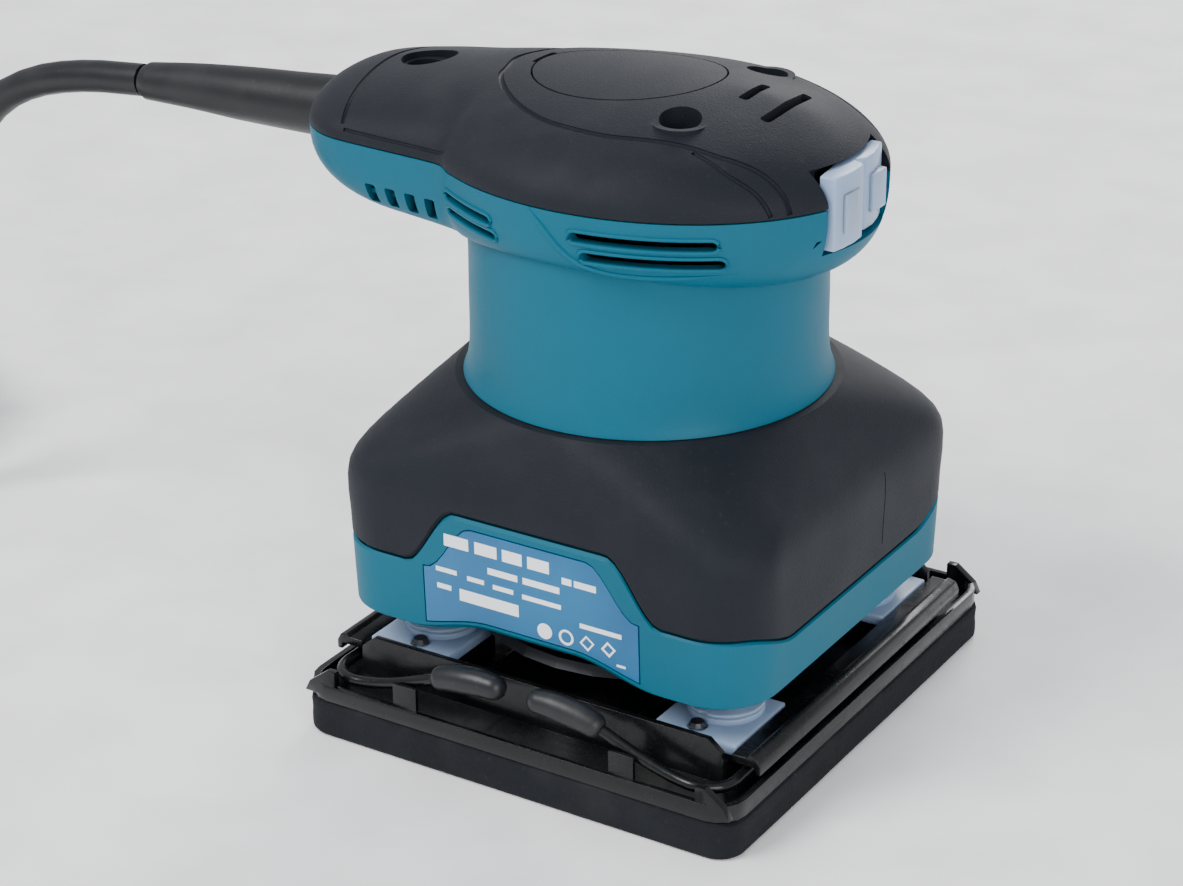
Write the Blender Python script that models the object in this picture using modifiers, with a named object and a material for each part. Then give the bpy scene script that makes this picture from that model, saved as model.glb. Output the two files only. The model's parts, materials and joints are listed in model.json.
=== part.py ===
"""Palm finishing sander, as separate pieces. Blender 4.5, metres, +Z up.

The origin is where the motor's axis meets the surface that the sander stands on.
+X is the switch end, -X the cord end, and the label and the levers are on the -Y side.
"""

import math

import bmesh
import bpy
from mathutils import Matrix, Vector

GAP = 0.0003  # clearance between touching pieces
ORBIT = 0.0008  # how far the pad's centre is off the motor's axis

PAD_X = 0.102
PAD_Y = 0.112
PAD_CORNER = 0.006
FOAM_THICK = 0.0080
PLATE_TOP = 0.0119

BASE_BOTTOM = 0.0255
SEAM_SIDE = 0.0400  # height of the boot's lower edge on the long sides and the rear
SEAM_FRONT = 0.0355
ARCH_RISE = 0.0130  # how much the teal field rises into the boot on the long sides
SEAM_GAP = 0.0005
BOOT_TOP = 0.0723
SHELL = 0.0024  # wall of the moulded shells
# height, half length, half width and corner radius of the base, from the bottom up
BASE_SECTIONS = (
    (0.0240, 0.0483, 0.0453, 0.0125),
    (0.0450, 0.0490, 0.0460, 0.0130),
    (0.0550, 0.0491, 0.0461, 0.0130),
    (0.0595, 0.0477, 0.0451, 0.0155),
    (0.0660, 0.0436, 0.0424, 0.0260),
    (0.0723, 0.0394, 0.0394, 0.0394),
)

NECK = 0.0362
NECK_FLARE = 0.0377
HEAD_SEAM = 0.1184
HEAD_FRONT = 0.0490
HEAD_HALF = 0.0393
HANDLE_END = -0.0740
HANDLE_HALF = 0.0270
# the top of the cover along its middle: distance along X, height
CROWN = (
    (-0.0740, 0.1295),
    (-0.0600, 0.1284),
    (-0.0450, 0.1300),
    (-0.0300, 0.1324),
    (-0.0140, 0.1335),
    (0.0040, 0.1345),
    (0.0150, 0.1347),
    (0.0250, 0.1341),
    (0.0350, 0.1329),
    (0.0490, 0.1300),
)

CORD_DIAMETER = 0.0072
CORD_Z = 0.1143  # height of the cord's exit
COIL_MEAN = 0.080  # coil diameter at the middle of its turns

TEAL = (0.012, 0.235, 0.340)
CHARCOAL = (0.036, 0.038, 0.050)
BLACK = (0.012, 0.012, 0.014)
WHITE_NYLON = (0.62, 0.68, 0.74)
LABEL_BLUE = (0.010, 0.170, 0.420)
STEEL = (0.55, 0.56, 0.58)
COPPER = (0.72, 0.33, 0.16)

for old in list(bpy.data.objects):
    bpy.data.objects.remove(old, do_unlink=True)

PARTS = bpy.data.collections.new("orbital_sander")
CUTTERS = bpy.data.collections.new("cutters")
for collection in (PARTS, CUTTERS):
    bpy.context.scene.collection.children.link(collection)


# ---------------------------------------------------------------- helpers


def material(name, colour, roughness=0.5, metallic=0.0):
    """A plain Principled finish, made once for each name."""
    found = bpy.data.materials.get(name)
    if found:
        return found
    made = bpy.data.materials.new(name)
    made.use_nodes = True
    shader = made.node_tree.nodes["Principled BSDF"]
    shader.inputs["Base Color"].default_value = (*colour, 1.0)
    shader.inputs["Roughness"].default_value = roughness
    shader.inputs["Metallic"].default_value = metallic
    made.diffuse_color = (*colour, 1.0)
    return made


def finish(name):
    """The material called name, from the table of this object's finishes."""
    finishes = {
        "teal_plastic": (TEAL, 0.45, 0.0),
        "soft_charcoal": (CHARCOAL, 0.62, 0.0),
        "black_plastic": (BLACK, 0.35, 0.0),
        "foam": (CHARCOAL, 0.9, 0.0),
        "nylon": (WHITE_NYLON, 0.4, 0.0),
        "label": (LABEL_BLUE, 0.3, 0.0),
        "steel": (STEEL, 0.3, 1.0),
        "dark_steel": ((0.10, 0.10, 0.11), 0.4, 1.0),
        "copper": (COPPER, 0.35, 1.0),
        "carbon": ((0.02, 0.02, 0.02), 0.6, 0.0),
        "brass": ((0.80, 0.58, 0.25), 0.35, 1.0),
        "cord": ((0.015, 0.015, 0.017), 0.55, 0.0),
    }
    colour, roughness, metallic = finishes[name]
    return material(name, colour, roughness, metallic)


def pivot(name, place, parent=None):
    """An empty on a joint's axis, which the moving pieces hang from."""
    empty = bpy.data.objects.new(name, None)
    empty.empty_display_size = 0.01
    PARTS.objects.link(empty)
    empty.parent = parent
    offset = Vector(place) - (world_place(parent) if parent else Vector())
    empty.location = offset
    return empty


def world_place(holder):
    """Where an empty stands, following its parents (none of them is turned)."""
    place = Vector(holder.location)
    while holder.parent:
        holder = holder.parent
        place += holder.location
    return place


def place_piece(piece, surface, holder=None, helper=False):
    """Gives a new object its finish, its collection and the empty that it hangs from."""
    if surface:
        piece.data.materials.append(finish(surface))
    (CUTTERS if helper else PARTS).objects.link(piece)
    if helper:
        piece.hide_render = True
        piece.display_type = "WIRE"
    if holder:
        piece.parent = holder
        piece.location = piece.location - world_place(holder)
    return piece


def point_outwards(shape):
    """Turns all faces away from the shape's middle, also on an open skin."""
    bmesh.ops.recalc_face_normals(shape, faces=shape.faces)
    middle = sum((v.co for v in shape.verts), Vector()) / len(shape.verts)
    outward = sum(f.calc_area() * f.normal.dot(f.calc_center_median() - middle) for f in shape.faces)
    if outward < 0.0:
        bmesh.ops.reverse_faces(shape, faces=shape.faces)


def solid(name, shape, surface=None, holder=None, helper=False, smooth=40):
    """An object from a bmesh whose points are in world space."""
    point_outwards(shape)
    mesh = bpy.data.meshes.new(name)
    shape.to_mesh(mesh)
    shape.free()
    if smooth:
        mesh.shade_smooth()
        mesh.set_sharp_from_angle(angle=math.radians(smooth))
    piece = bpy.data.objects.new(name, mesh)
    return place_piece(piece, surface, holder, helper)


def box(low, high):
    """A box between two corners."""
    shape = bmesh.new()
    low, high = Vector(low), Vector(high)
    middle = Matrix.Translation((low + high) / 2)
    bmesh.ops.create_cube(shape, size=1.0, matrix=middle @ Matrix.Diagonal((*(high - low), 1.0)))
    return shape


def rod(radius, start, end, sides=20, end_radius=None):
    """A cylinder or cone between two points."""
    shape = bmesh.new()
    start, end = Vector(start), Vector(end)
    turn = (end - start).to_track_quat("Z", "Y").to_matrix().to_4x4()
    bmesh.ops.create_cone(
        shape,
        cap_ends=True,
        segments=sides,
        radius1=radius,
        radius2=radius if end_radius is None else end_radius,
        depth=(end - start).length,
        matrix=Matrix.Translation((start + end) / 2) @ turn,
    )
    return shape


def prism(outline, low, high, axis="z"):
    """A flat outline pushed from low to high along an axis. Its numbers are along the other two."""
    spots = {
        "x": lambda a, b, c: (c, a, b),
        "y": lambda a, b, c: (a, c, b),
        "z": lambda a, b, c: (a, b, c),
    }
    shape = bmesh.new()
    floor = shape.faces.new([shape.verts.new(spots[axis](a, b, low)) for a, b in outline])
    pushed = bmesh.ops.extrude_face_region(shape, geom=[floor])["geom"]
    moved = [v for v in pushed if isinstance(v, bmesh.types.BMVert)]
    bmesh.ops.translate(shape, verts=moved, vec=spots[axis](0.0, 0.0, high - low))
    return shape


def turned(name, profile, surface, holder=None, centre=(0.0, 0.0), sides=18, closed=False):
    """A turned piece: a profile of (radius, height) pairs, down its outer side, and a Screw."""
    mesh = bpy.data.meshes.new(name)
    edges = [(i, i + 1) for i in range(len(profile) - 1)]
    if closed:
        edges.append((len(profile) - 1, 0))
    mesh.from_pydata([(r, 0.0, z) for r, z in profile], edges, [])
    piece = bpy.data.objects.new(name, mesh)
    piece.location = (*centre, 0.0)
    screw = piece.modifiers.new("turn", "SCREW")
    screw.axis = "Z"
    screw.steps = sides
    screw.render_steps = sides
    screw.use_merge_vertices = True
    screw.merge_threshold = 0.00001
    return place_piece(piece, surface, holder)


def ring(name, outer, inner, bottom, top, surface, holder=None, centre=(0.0, 0.0), sides=18):
    """A plain ring about a vertical axis."""
    profile = [(outer, top), (outer, bottom), (inner, bottom), (inner, top)]
    turned(name, profile, surface, holder, centre, sides, closed=True)


def combine(piece, operation, shape, name):
    """Cuts a piece by, joins it to or crosses it with another shape."""
    other = shape
    if isinstance(shape, bmesh.types.BMesh):
        other = solid(name, shape, helper=True, smooth=0)
    step = piece.modifiers.new(name, "BOOLEAN")
    step.operation = operation
    step.solver = "EXACT"
    step.object = other


def cut(piece, shape, name):
    combine(piece, "DIFFERENCE", shape, name)


def join(piece, shape, name):
    combine(piece, "UNION", shape, name)


def cross(piece, shape, name):
    combine(piece, "INTERSECT", shape, name)


def loft(rows, cap_first=True, cap_last=True):
    """Skins rows of points that have equal counts and go round."""
    shape = bmesh.new()
    rings = [[shape.verts.new(point) for point in row] for row in rows]
    for lower, upper in zip(rings, rings[1:]):
        for i in range(len(lower)):
            j = (i + 1) % len(lower)
            shape.faces.new((lower[i], lower[j], upper[j], upper[i]))
    caps = []
    if cap_first:
        caps.append(shape.faces.new(list(reversed(rings[0]))))
    if cap_last:
        caps.append(shape.faces.new(rings[-1]))
    bmesh.ops.triangulate(shape, faces=caps)
    return shape


def shell(name, rows, thickness, surface, patch_ends=(False, False)):
    """An open skin from rows of points, thickened inwards."""
    piece = solid(name, loft(rows, *patch_ends), surface)
    wall = piece.modifiers.new("wall", "SOLIDIFY")
    wall.thickness = thickness
    wall.offset = -1.0
    return piece


def between(table, value):
    """Reads a table of rows (key, numbers...) at a key, in straight lines."""
    if value <= table[0][0]:
        return table[0][1:]
    for low, high in zip(table, table[1:]):
        if value <= high[0]:
            share = (value - low[0]) / (high[0] - low[0])
            return tuple(a + (b - a) * share for a, b in zip(low[1:], high[1:]))
    return table[-1][1:]


def ease(value, start, end):
    """Rises smoothly from 0 at start to 1 at end."""
    share = min(1.0, max(0.0, (value - start) / (end - start)))
    return share * share * (3.0 - 2.0 * share)


# ---------------------------------------------------------------- base


def rounded_reach(angle, half_x, half_y, corner):
    """Distance from the middle of a rounded rectangle to its edge, at an angle."""
    across, along = abs(math.cos(angle)), abs(math.sin(angle))
    if along * half_x <= across * (half_y - corner):
        return half_x / across
    if across * half_y <= along * (half_x - corner):
        return half_y / along
    middle = Vector((half_x - corner, half_y - corner))
    reach = middle.dot((across, along))
    return reach + math.sqrt(max(0.0, corner**2 - (middle.length_squared - reach**2)))


def base_angles(quarter):
    """Angles all the way round, from those of one quarter (0 up to 90 degrees, ends left out)."""
    first = [0.0, *quarter, 90.0]
    half = first + [180.0 - a for a in reversed(first[:-1])]
    return [math.radians(a) for a in half + [180.0 + a for a in half[1:-1]]]


FINE_ROUND = base_angles((12, 24, 34, 43, 52, 57, 62, 66.5, 71, 77, 83.5))
PLAIN_ROUND = base_angles((17, 33, 43, 52, 70))


def base_point(angle, height, inset=0.0):
    """A point on the base's outer skin, or inside it by an inset."""
    half_x, half_y, corner = between(BASE_SECTIONS, height)
    corner = max(corner - inset, 0.004)
    reach = rounded_reach(angle, half_x - inset, half_y - inset, corner)
    return Vector((reach * math.cos(angle), reach * math.sin(angle), height))


def seam_height(angle):
    """Height of the edge between skirt and boot: an arch on each long side, lower at the front."""
    point = base_point(angle, SEAM_SIDE)
    arch = ARCH_RISE * (1.0 - ease(abs(point.x), 0.0175, 0.0300))
    if abs(point.y) < 0.040:
        arch = 0.0
    front = 0.0
    if point.x > 0.040:
        front = (SEAM_SIDE - SEAM_FRONT) * (1.0 - ease(abs(point.y), 0.0260, 0.0420))
    return SEAM_SIDE + arch - front


def skirt_bottom(angle):
    """Height of the skirt's lower edge, which rises a little under the label."""
    point = base_point(angle, BASE_BOTTOM)
    if abs(point.y) < 0.040:
        return BASE_BOTTOM
    return BASE_BOTTOM + 0.0036 * (1.0 - ease(abs(point.x), 0.0100, 0.0290))


def label_field(outer, inner, margin):
    """A closed patch of the -Y side inside the arch, between two depths under the skin."""
    steps = 12
    rows = []
    for depth in (outer, inner):
        front, back = [], []
        for i in range(steps + 1):
            x = (-0.0250 - margin) + i * (0.0500 + 2 * margin) / steps
            angle = math.atan2(-0.0450, x)
            top = SEAM_SIDE + 0.0108 * (1.0 - ease(abs(x), 0.0135, 0.0245)) + margin
            low = skirt_bottom(angle) + 0.0016 - margin
            for height, row in ((low, front), (top, back)):
                skin = base_point(angle, height)
                row.append(Vector((x, skin.y + depth, height)))
        rows.append(front + list(reversed(back)))
    return loft(rows)


def make_base():
    """The teal skirt with the hidden shoulder that carries the boot, and the boot."""
    skirt_rows = []
    for share in (0.0, 0.5, 1.0):
        row = []
        for angle in FINE_ROUND:
            low, high = skirt_bottom(angle), seam_height(angle)
            row.append(base_point(angle, low + (high - low) * share))
        skirt_rows.append(row)
    skirt = shell("base_housing", skirt_rows, 0.0028, "teal_plastic")

    shoulder_rows = []
    shoulder = (
        (0.0300, 0.0000),
        (0.0450, 0.0000),
        (0.0540, 0.0020),
        (0.0595, 0.0028),
        (0.0660, 0.0032),
        (0.0705, 0.0032),
    )
    for height, drop in shoulder:
        lower = Vector((0.0, 0.0, drop))
        shoulder_rows.append([base_point(a, height, 0.0028) - lower for a in PLAIN_ROUND])
    inner = solid("skirt_shoulder", loft(shoulder_rows, False, False), helper=True)
    wall = inner.modifiers.new("wall", "SOLIDIFY")
    wall.thickness = 0.0022
    wall.offset = -1.0
    join(skirt, inner, "skirt_shoulder")
    cut(skirt, rod(NECK + 0.0008, (0, 0, 0.0600), (0, 0, 0.0900), 48), "neck_opening")
    cut(skirt, label_field(-0.0050, 0.0009, GAP), "label_recess")

    boot_rows = [[base_point(a, seam_height(a) + SEAM_GAP) for a in FINE_ROUND]]
    for height in (0.0560, 0.0595, 0.0628, 0.0660, 0.0692, BOOT_TOP):
        row = []
        for a in FINE_ROUND:
            start = seam_height(a) + SEAM_GAP
            lift = (height - SEAM_SIDE) / (BOOT_TOP - SEAM_SIDE)
            z = max(height, start + (BOOT_TOP - start) * lift * 0.55)
            row.append(base_point(a, min(z, BOOT_TOP)))
        boot_rows.append(row)
    boot = shell("base_boot", boot_rows, 0.0019, "soft_charcoal")
    cut(boot, rod(NECK + 0.0006, (0, 0, 0.0600), (0, 0, 0.0900), 48), "boot_opening")


def make_label():
    """The rating plate, a thin panel let into the skirt."""
    solid("rating_label", label_field(-0.0001, 0.0005, 0.0), "label")


# ---------------------------------------------------------------- head


def head_outline():
    """The head in plan at its seam, anticlockwise: the round end with the switch, then the handle."""
    half = []
    for i in range(11):
        turn = math.radians(i * 126.0 / 10)
        reach = HEAD_FRONT - 0.0020 if turn < math.pi / 2 else 0.0480
        half.append((0.0020 + reach * math.cos(turn), HEAD_HALF * math.sin(turn)))
    half.append((-0.0296, 0.0291))
    half.append((-0.0340, 0.0282))
    for i in range(6):
        turn = math.radians(90.0 - i * 90.0 / 5)
        across = HANDLE_HALF * math.sin(turn) ** (2 / 2.3) if i < 5 else 0.0
        half.append((-0.0520 + (HANDLE_END + 0.0520) * math.cos(turn) ** (2 / 2.3), across))
    return half + [(x, -y) for x, y in reversed(half[1:-1])]


OUTLINE = head_outline()
TRIM = 0.00005  # shaved off the two rims so that they lie flat
ROUND = 2.6  # how square the head's edges are: 2 is a circle
DOME_ROUND = 1.95  # the same for the top of the head


def dome_rows(inset=0.0, steps=6):
    """Rows of points over the head's top, from the seam up to the ridge."""
    rows = []
    for k in range(steps):
        turn = math.radians(90.0 * k / (steps - 0.35))
        share = math.cos(turn) ** (2 / DOME_ROUND)
        lift = math.sin(turn) ** (2 / DOME_ROUND)
        row = []
        for x, y in OUTLINE:
            ridge = -0.0560 + (x - HANDLE_END) / (HEAD_FRONT - HANDLE_END) * 0.0800
            spot = ridge + (x - ridge) * share
            height = between(CROWN, spot)[0] - HEAD_SEAM - inset
            narrow = 1.0 - inset / 0.035
            row.append(Vector((spot * narrow, y * share * narrow, HEAD_SEAM + GAP / 2 + height * lift)))
        rows.append(row)
    return rows


def bowl_rows(steps=5):
    """Rows of points from the seam down and in to the neck."""
    rows = []
    for k in range(steps + 1):
        turn = math.radians(90.0 * k / steps)
        share = 1.0 - math.cos(turn) ** (2 / ROUND) if k < steps else 1.0
        fall = math.sin(turn) ** (2 / ROUND)
        row = []
        for x, y in OUTLINE:
            angle = math.atan2(y, x)
            depth = HEAD_SEAM - (0.1015 + 0.0052 * math.sin(angle) ** 2)
            inner = Vector((NECK * math.cos(angle), NECK * math.sin(angle)))
            spot = Vector((x, y)).lerp(inner, share)
            row.append(Vector((spot.x, spot.y, HEAD_SEAM - GAP / 2 - depth * fall)))
        rows.append(row)
    return rows


def neck_rows():
    """Rows of points down the neck, over the flare and into the spigot that the base holds."""
    rows = []
    for radius, height in (
        (NECK, 0.0800),
        (NECK + 0.0003, 0.0765),
        (NECK + 0.0010, 0.0740),
        (NECK_FLARE, BOOT_TOP + GAP),
        (NECK + 0.0002, BOOT_TOP + GAP),
        (NECK + 0.0002, 0.0620),
    ):
        row = []
        for x, y in OUTLINE:
            angle = math.atan2(y, x)
            row.append(Vector((radius * math.cos(angle), radius * math.sin(angle), height)))
        rows.append(row)
    return rows


def slots():
    """The vents in the teal bowl: where each starts and ends along X, its height and its slant."""
    long_slots = [(0.0060, 0.0325, 0.1140, 0.0), (0.0080, 0.0335, 0.1102, 0.0)]
    slant_slots = [(-0.0275, -0.0130, 0.1132, -0.06), (-0.0265, -0.0118, 0.1102, -0.06)]
    return long_slots + slant_slots


def vent_cutters():
    """One shape with all the vent slots of both sides."""
    shape = bmesh.new()
    for side in (-1, 1):
        for start, end, height, slant in slots():
            middle = Matrix.Translation(((start + end) / 2, side * 0.0380, height))
            tilt = Matrix.Rotation(-slant, 4, "Y")
            size = Matrix.Diagonal((end - start, 0.0300, 0.0017, 1.0))
            bmesh.ops.create_cube(shape, size=1.0, matrix=middle @ tilt @ size)
        for i in range(4):
            middle = Matrix.Translation((-0.0478 + i * 0.0051, side * 0.0262, 0.1082))
            size = Matrix.Diagonal((0.0026, 0.0080, 0.0046, 1.0))
            bmesh.ops.create_cube(shape, size=1.0, matrix=middle @ size)
    return shape


SWITCH_HALF = 0.0126
SWITCH_LOW = 0.1090
SWITCH_HIGH = 0.1252
SWITCH_BACK = 0.0418
POCKET_WALL = 0.0020
COVER_SCREWS = ((-0.0530, 0.0), (0.0170, -0.0168), (0.0170, 0.0168))


def pocket(low, high):
    """A block behind the switch, which makes the walls of its recess."""
    side = SWITCH_HALF + POCKET_WALL
    return box((SWITCH_BACK - POCKET_WALL, -side, low), (0.0600, side, high))


def head_solid(name, rows):
    """A closed solid of the head's outer form, used to trim the switch's pocket."""
    return solid(name, loft(rows), helper=True, smooth=0)


def make_motor_housing():
    """The teal housing: bowl of the head, underside of the handle, neck and spigot."""
    housing = shell("motor_housing", bowl_rows() + neck_rows(), SHELL, "teal_plastic")
    above = box((-0.1, -0.1, HEAD_SEAM - GAP / 2 - TRIM), (0.1, 0.1, HEAD_SEAM + 0.01))
    cut(housing, above, "bowl_rim")
    block = solid("bowl_pocket", pocket(0.1075, HEAD_SEAM - GAP / 2 - 0.0001), helper=True, smooth=0)
    cross(block, head_solid("bowl_form", bowl_rows()), "bowl_form")
    join(housing, block, "bowl_pocket")
    recess = box((SWITCH_BACK, -SWITCH_HALF, SWITCH_LOW), (0.0700, SWITCH_HALF, 0.1300))
    cut(housing, recess, "bowl_switch_recess")
    well = box((0.0380, -0.0095, 0.1105), (0.0500, 0.0095, 0.1300))
    cut(housing, well, "bowl_switch_opening")
    cut(housing, rod(0.0071, (-0.0900, 0, CORD_Z), (-0.0600, 0, CORD_Z), 24), "bowl_cord_hole")
    cut(housing, vent_cutters(), "bowl_vents")


def make_top_cover():
    """The dark cover of the head and handle, with its screw wells, slots and recess for the inlay."""
    cover = shell("top_cover", dome_rows(), SHELL, "soft_charcoal", patch_ends=(False, True))
    below = box((-0.1, -0.1, HEAD_SEAM - 0.01), (0.1, 0.1, HEAD_SEAM + GAP / 2 + TRIM))
    cut(cover, below, "cover_rim")
    block = solid("cover_pocket", pocket(HEAD_SEAM + GAP / 2 + 0.0001, 0.1268), helper=True, smooth=0)
    cross(block, head_solid("cover_form", dome_rows()), "cover_form")
    join(cover, block, "cover_pocket")
    for i, (x, y) in enumerate(COVER_SCREWS):
        top = between(CROWN, x)[0] - 0.0022
        join(cover, rod(0.0055, (x, y, 0.1130), (x, y, top - abs(y) * 0.04), 20), f"well_{i}")
    for i, (x, y) in enumerate(COVER_SCREWS):
        cut(cover, rod(0.0038, (x, y, 0.1160), (x, y, 0.1500), 20), f"well_bore_{i}")
        cut(cover, rod(0.0021, (x, y, 0.1000), (x, y, 0.1170), 12), f"shank_hole_{i}")
    recess = box((SWITCH_BACK, -SWITCH_HALF, 0.1100), (0.0700, SWITCH_HALF, SWITCH_HIGH))
    cut(cover, recess, "cover_switch_recess")
    well = box((0.0380, -0.0095, 0.1100), (0.0500, 0.0095, 0.1240))
    cut(cover, well, "cover_switch_opening")
    cut(cover, rod(0.0071, (-0.0900, 0, CORD_Z), (-0.0600, 0, CORD_Z), 24), "cover_cord_hole")
    for i, (x, half) in enumerate(((0.0235, 0.0048), (0.0310, 0.0088))):
        slot = box((x - 0.0010, -half, 0.1230), (x + 0.0010, half, 0.1400))
        cut(cover, slot, f"front_slot_{i}")
    recess_floor = head_solid("inlay_floor", dome_rows(inset=0.0014))
    bed = solid("inlay_bed", oval(0.0203, 0.0163, 0.1250, 0.1450), helper=True, smooth=0)
    cut(bed, recess_floor, "inlay_floor")
    cut(cover, bed, "inlay_bed")


def oval(half_x, half_y, low, high):
    """An upright oval block where the inlay sits."""
    turns = [math.radians(i * 15.0) for i in range(24)]
    outline = [(-0.0045 + half_x * math.cos(t), half_y * math.sin(t)) for t in turns]
    return prism(outline, low, high)


def make_inlay():
    """The oval inlay on top: a slice of the cover's form."""
    inlay = solid("top_inlay", oval(0.0200, 0.0160, 0.1260, 0.1440), "soft_charcoal")
    cross(inlay, head_solid("inlay_top", dome_rows()), "inlay_top")
    cut(inlay, head_solid("inlay_under", dome_rows(inset=0.0011)), "inlay_under")


def make_switch(holder):
    """The switch body behind the front wall, and the two-lobed rocker under its clear boot."""
    solid("switch_body", box((0.0220, -0.0092, 0.1108), (0.0416, 0.0092, 0.1237)), "black_plastic")
    half = SWITCH_HALF - 0.0008
    outline = [
        (-half, 0.0474),
        (-0.0052, 0.0482),
        (-0.0008, 0.0474),
        (0.0, 0.0452),
        (0.0008, 0.0462),
        (0.0052, 0.0468),
        (half, 0.0450),
        (half, 0.0426),
        (0.0, 0.0426),
        (-half, 0.0440),
    ]
    lobes = prism([(x, y) for y, x in outline], SWITCH_LOW + 0.0008, SWITCH_HIGH - 0.0008)
    rocker = solid("switch_rocker", lobes, "nylon", holder)
    for i, y in enumerate((-0.0064, 0.0064)):
        window = box((0.0440, y - 0.0026, 0.1130), (0.0486 - 0.0010 * i, y + 0.0026, 0.1200))
        join(rocker, window, f"rocker_window_{i}")


# ---------------------------------------------------------------- motor


def make_motor(rotor):
    """Everything inside the housing: the fixed half of the motor, then what turns."""
    edge = [base_point(angle, 0.0450, 0.0058) for angle in PLAIN_ROUND]
    block = prism([(spot.x, spot.y) for spot in edge], 0.0405, 0.0430)
    plate = solid("bearing_plate", block, "dark_steel")
    join(plate, rod(0.0140, (0, 0, 0.0410), (0, 0, 0.0510), 24), "bearing_boss")
    cut(plate, rod(0.0113, (0, 0, 0.0425), (0, 0, 0.0600), 24), "bearing_seat")
    cut(plate, rod(0.0060, (0, 0, 0.0300), (0, 0, 0.0600), 24), "shaft_hole")
    ring("lower_bearing", 0.0110, 0.0043, 0.0430, 0.0500, "steel")

    ring("field_stator", 0.0330, 0.0185, 0.0560, 0.0830, "dark_steel", sides=24)
    for i, side in enumerate((-1, 1)):
        low = (side * 0.0255 - 0.0040, -0.0140, 0.0834)
        high = (side * 0.0255 + 0.0040, 0.0140, 0.0890)
        solid(f"field_coil_{i + 1}", box(low, high), "copper")

    turned(
        "upper_bracket",
        [(0.0332, 0.1020), (0.0332, 0.0996), (0.0105, 0.0996), (0.0105, 0.1020), (0.0098, 0.1020),
         (0.0098, 0.1080), (0.0125, 0.1080), (0.0125, 0.1020)],
        "black_plastic",
        closed=True,
    )
    ring("upper_bearing", 0.0095, 0.0033, 0.1022, 0.1074, "steel")
    for i, side in enumerate((-1, 1)):
        make_brush(i + 1, side)

    shaft = turned(
        "motor_shaft",
        [
            (0.0000, 0.1085),
            (0.0030, 0.1085),
            (0.0030, 0.1010),
            (0.0040, 0.1000),
            (0.0040, 0.0200),
            (0.0000, 0.0200),
        ],
        "steel",
        rotor,
    )
    join(shaft, rod(0.0037, (ORBIT, 0, 0.0121), (ORBIT, 0, 0.0210), 24), "eccentric_pin")
    turned(
        "armature_core",
        [(0.0180, 0.0830), (0.0180, 0.0560), (0.0090, 0.0560), (0.0090, 0.0830)],
        "dark_steel",
        rotor,
        closed=True,
    )
    turned(
        "armature_windings",
        [(0.0125, 0.0880), (0.0150, 0.0860), (0.0150, 0.0833), (0.0087, 0.0833), (0.0087, 0.0557),
         (0.0150, 0.0557), (0.0150, 0.0535), (0.0125, 0.0520), (0.0043, 0.0520), (0.0043, 0.0880)],
        "copper",
        rotor,
        closed=True,
    )
    ring("commutator", 0.0100, 0.0043, 0.0885, 0.0990, "copper", rotor)
    make_fan(rotor)


def make_brush(number, side):
    """A brush holder with its carbon brush and spring, at one side of the commutator."""
    holder_box = box((-0.0052, side * 0.0120, 0.0890), (0.0052, side * 0.0250, 0.0993))
    channel = box((-0.0036, side * 0.0110, 0.0906), (0.0036, side * 0.0236, 0.0977))
    holder = solid(f"brush_holder_{number}", holder_box, "brass")
    cut(holder, channel, f"brush_channel_{number}")
    brush = box((-0.0032, side * 0.0103, 0.0910), (0.0032, side * 0.0190, 0.0973))
    solid(f"carbon_brush_{number}", brush, "carbon")
    turns, points = 4, 7
    route = []
    for i in range(turns * points + 1):
        turn = i * math.tau / points
        along = side * (0.0197 + 0.0032 * i / (turns * points))
        route.append((0.0022 * math.cos(turn), along, 0.0942 + 0.0022 * math.sin(turn)))
    wire(f"brush_spring_{number}", route, 0.0003, "steel", rings=0)


def make_fan(rotor):
    """The fan with its domed rim, the counterweight above it and the screw under the pad's bearing."""
    profile = [(0.0080, 0.0400), (0.0080, 0.0240), (0.0300, 0.0228), (0.0355, 0.0214), (0.0368, 0.0196),
               (0.0356, 0.0196), (0.0340, 0.0206), (0.0180, 0.0212), (0.0043, 0.0212), (0.0043, 0.0400)]
    fan = turned("fan", profile, "dark_steel", rotor, sides=28, closed=True)
    blades = bmesh.new()
    for i in range(8):
        turn = Matrix.Rotation(math.radians(45.0 * i), 4, "Z")
        lean = Matrix.Rotation(math.radians(20.0), 4, "Z")
        middle = Matrix.Translation((0.0225, 0.0, 0.0275))
        size = Matrix.Diagonal((0.0150, 0.0012, 0.0110, 1.0))
        bmesh.ops.create_cube(blades, size=1.0, matrix=turn @ middle @ lean @ size)
    join(fan, blades, "fan_blades")

    sweep = [math.radians(100.0 + i * 160.0 / 10) for i in range(11)]
    outer = [(0.0230 * math.cos(t), 0.0230 * math.sin(t)) for t in sweep]
    inner = [(0.0083 * math.cos(t), 0.0083 * math.sin(t)) for t in reversed(sweep)]
    solid("counterweight", prism(outer + inner, 0.0334, 0.0396), "dark_steel", rotor)


# ---------------------------------------------------------------- pad


LEG_X = 0.0340
LEG_Y = 0.0310
FOOT_X = 0.0094  # half sizes of a leg's square foot
FOOT_Y = 0.0100
FLOOR = 0.0104  # the plate's own top, inside its rims
PEDESTAL = 0.0142
LEVER_Y = -0.0520  # the plane that the lever arms lie in
LEVER_X = 0.0460  # the levers' hinge lines, before and behind the pad's centre
LEVER_Z = 0.0126
WIRE = 0.0012
BOSS = 0.0140
CLAMP_HINGE = (0.0447, 0.0158)  # from the pad's centre, height


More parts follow.
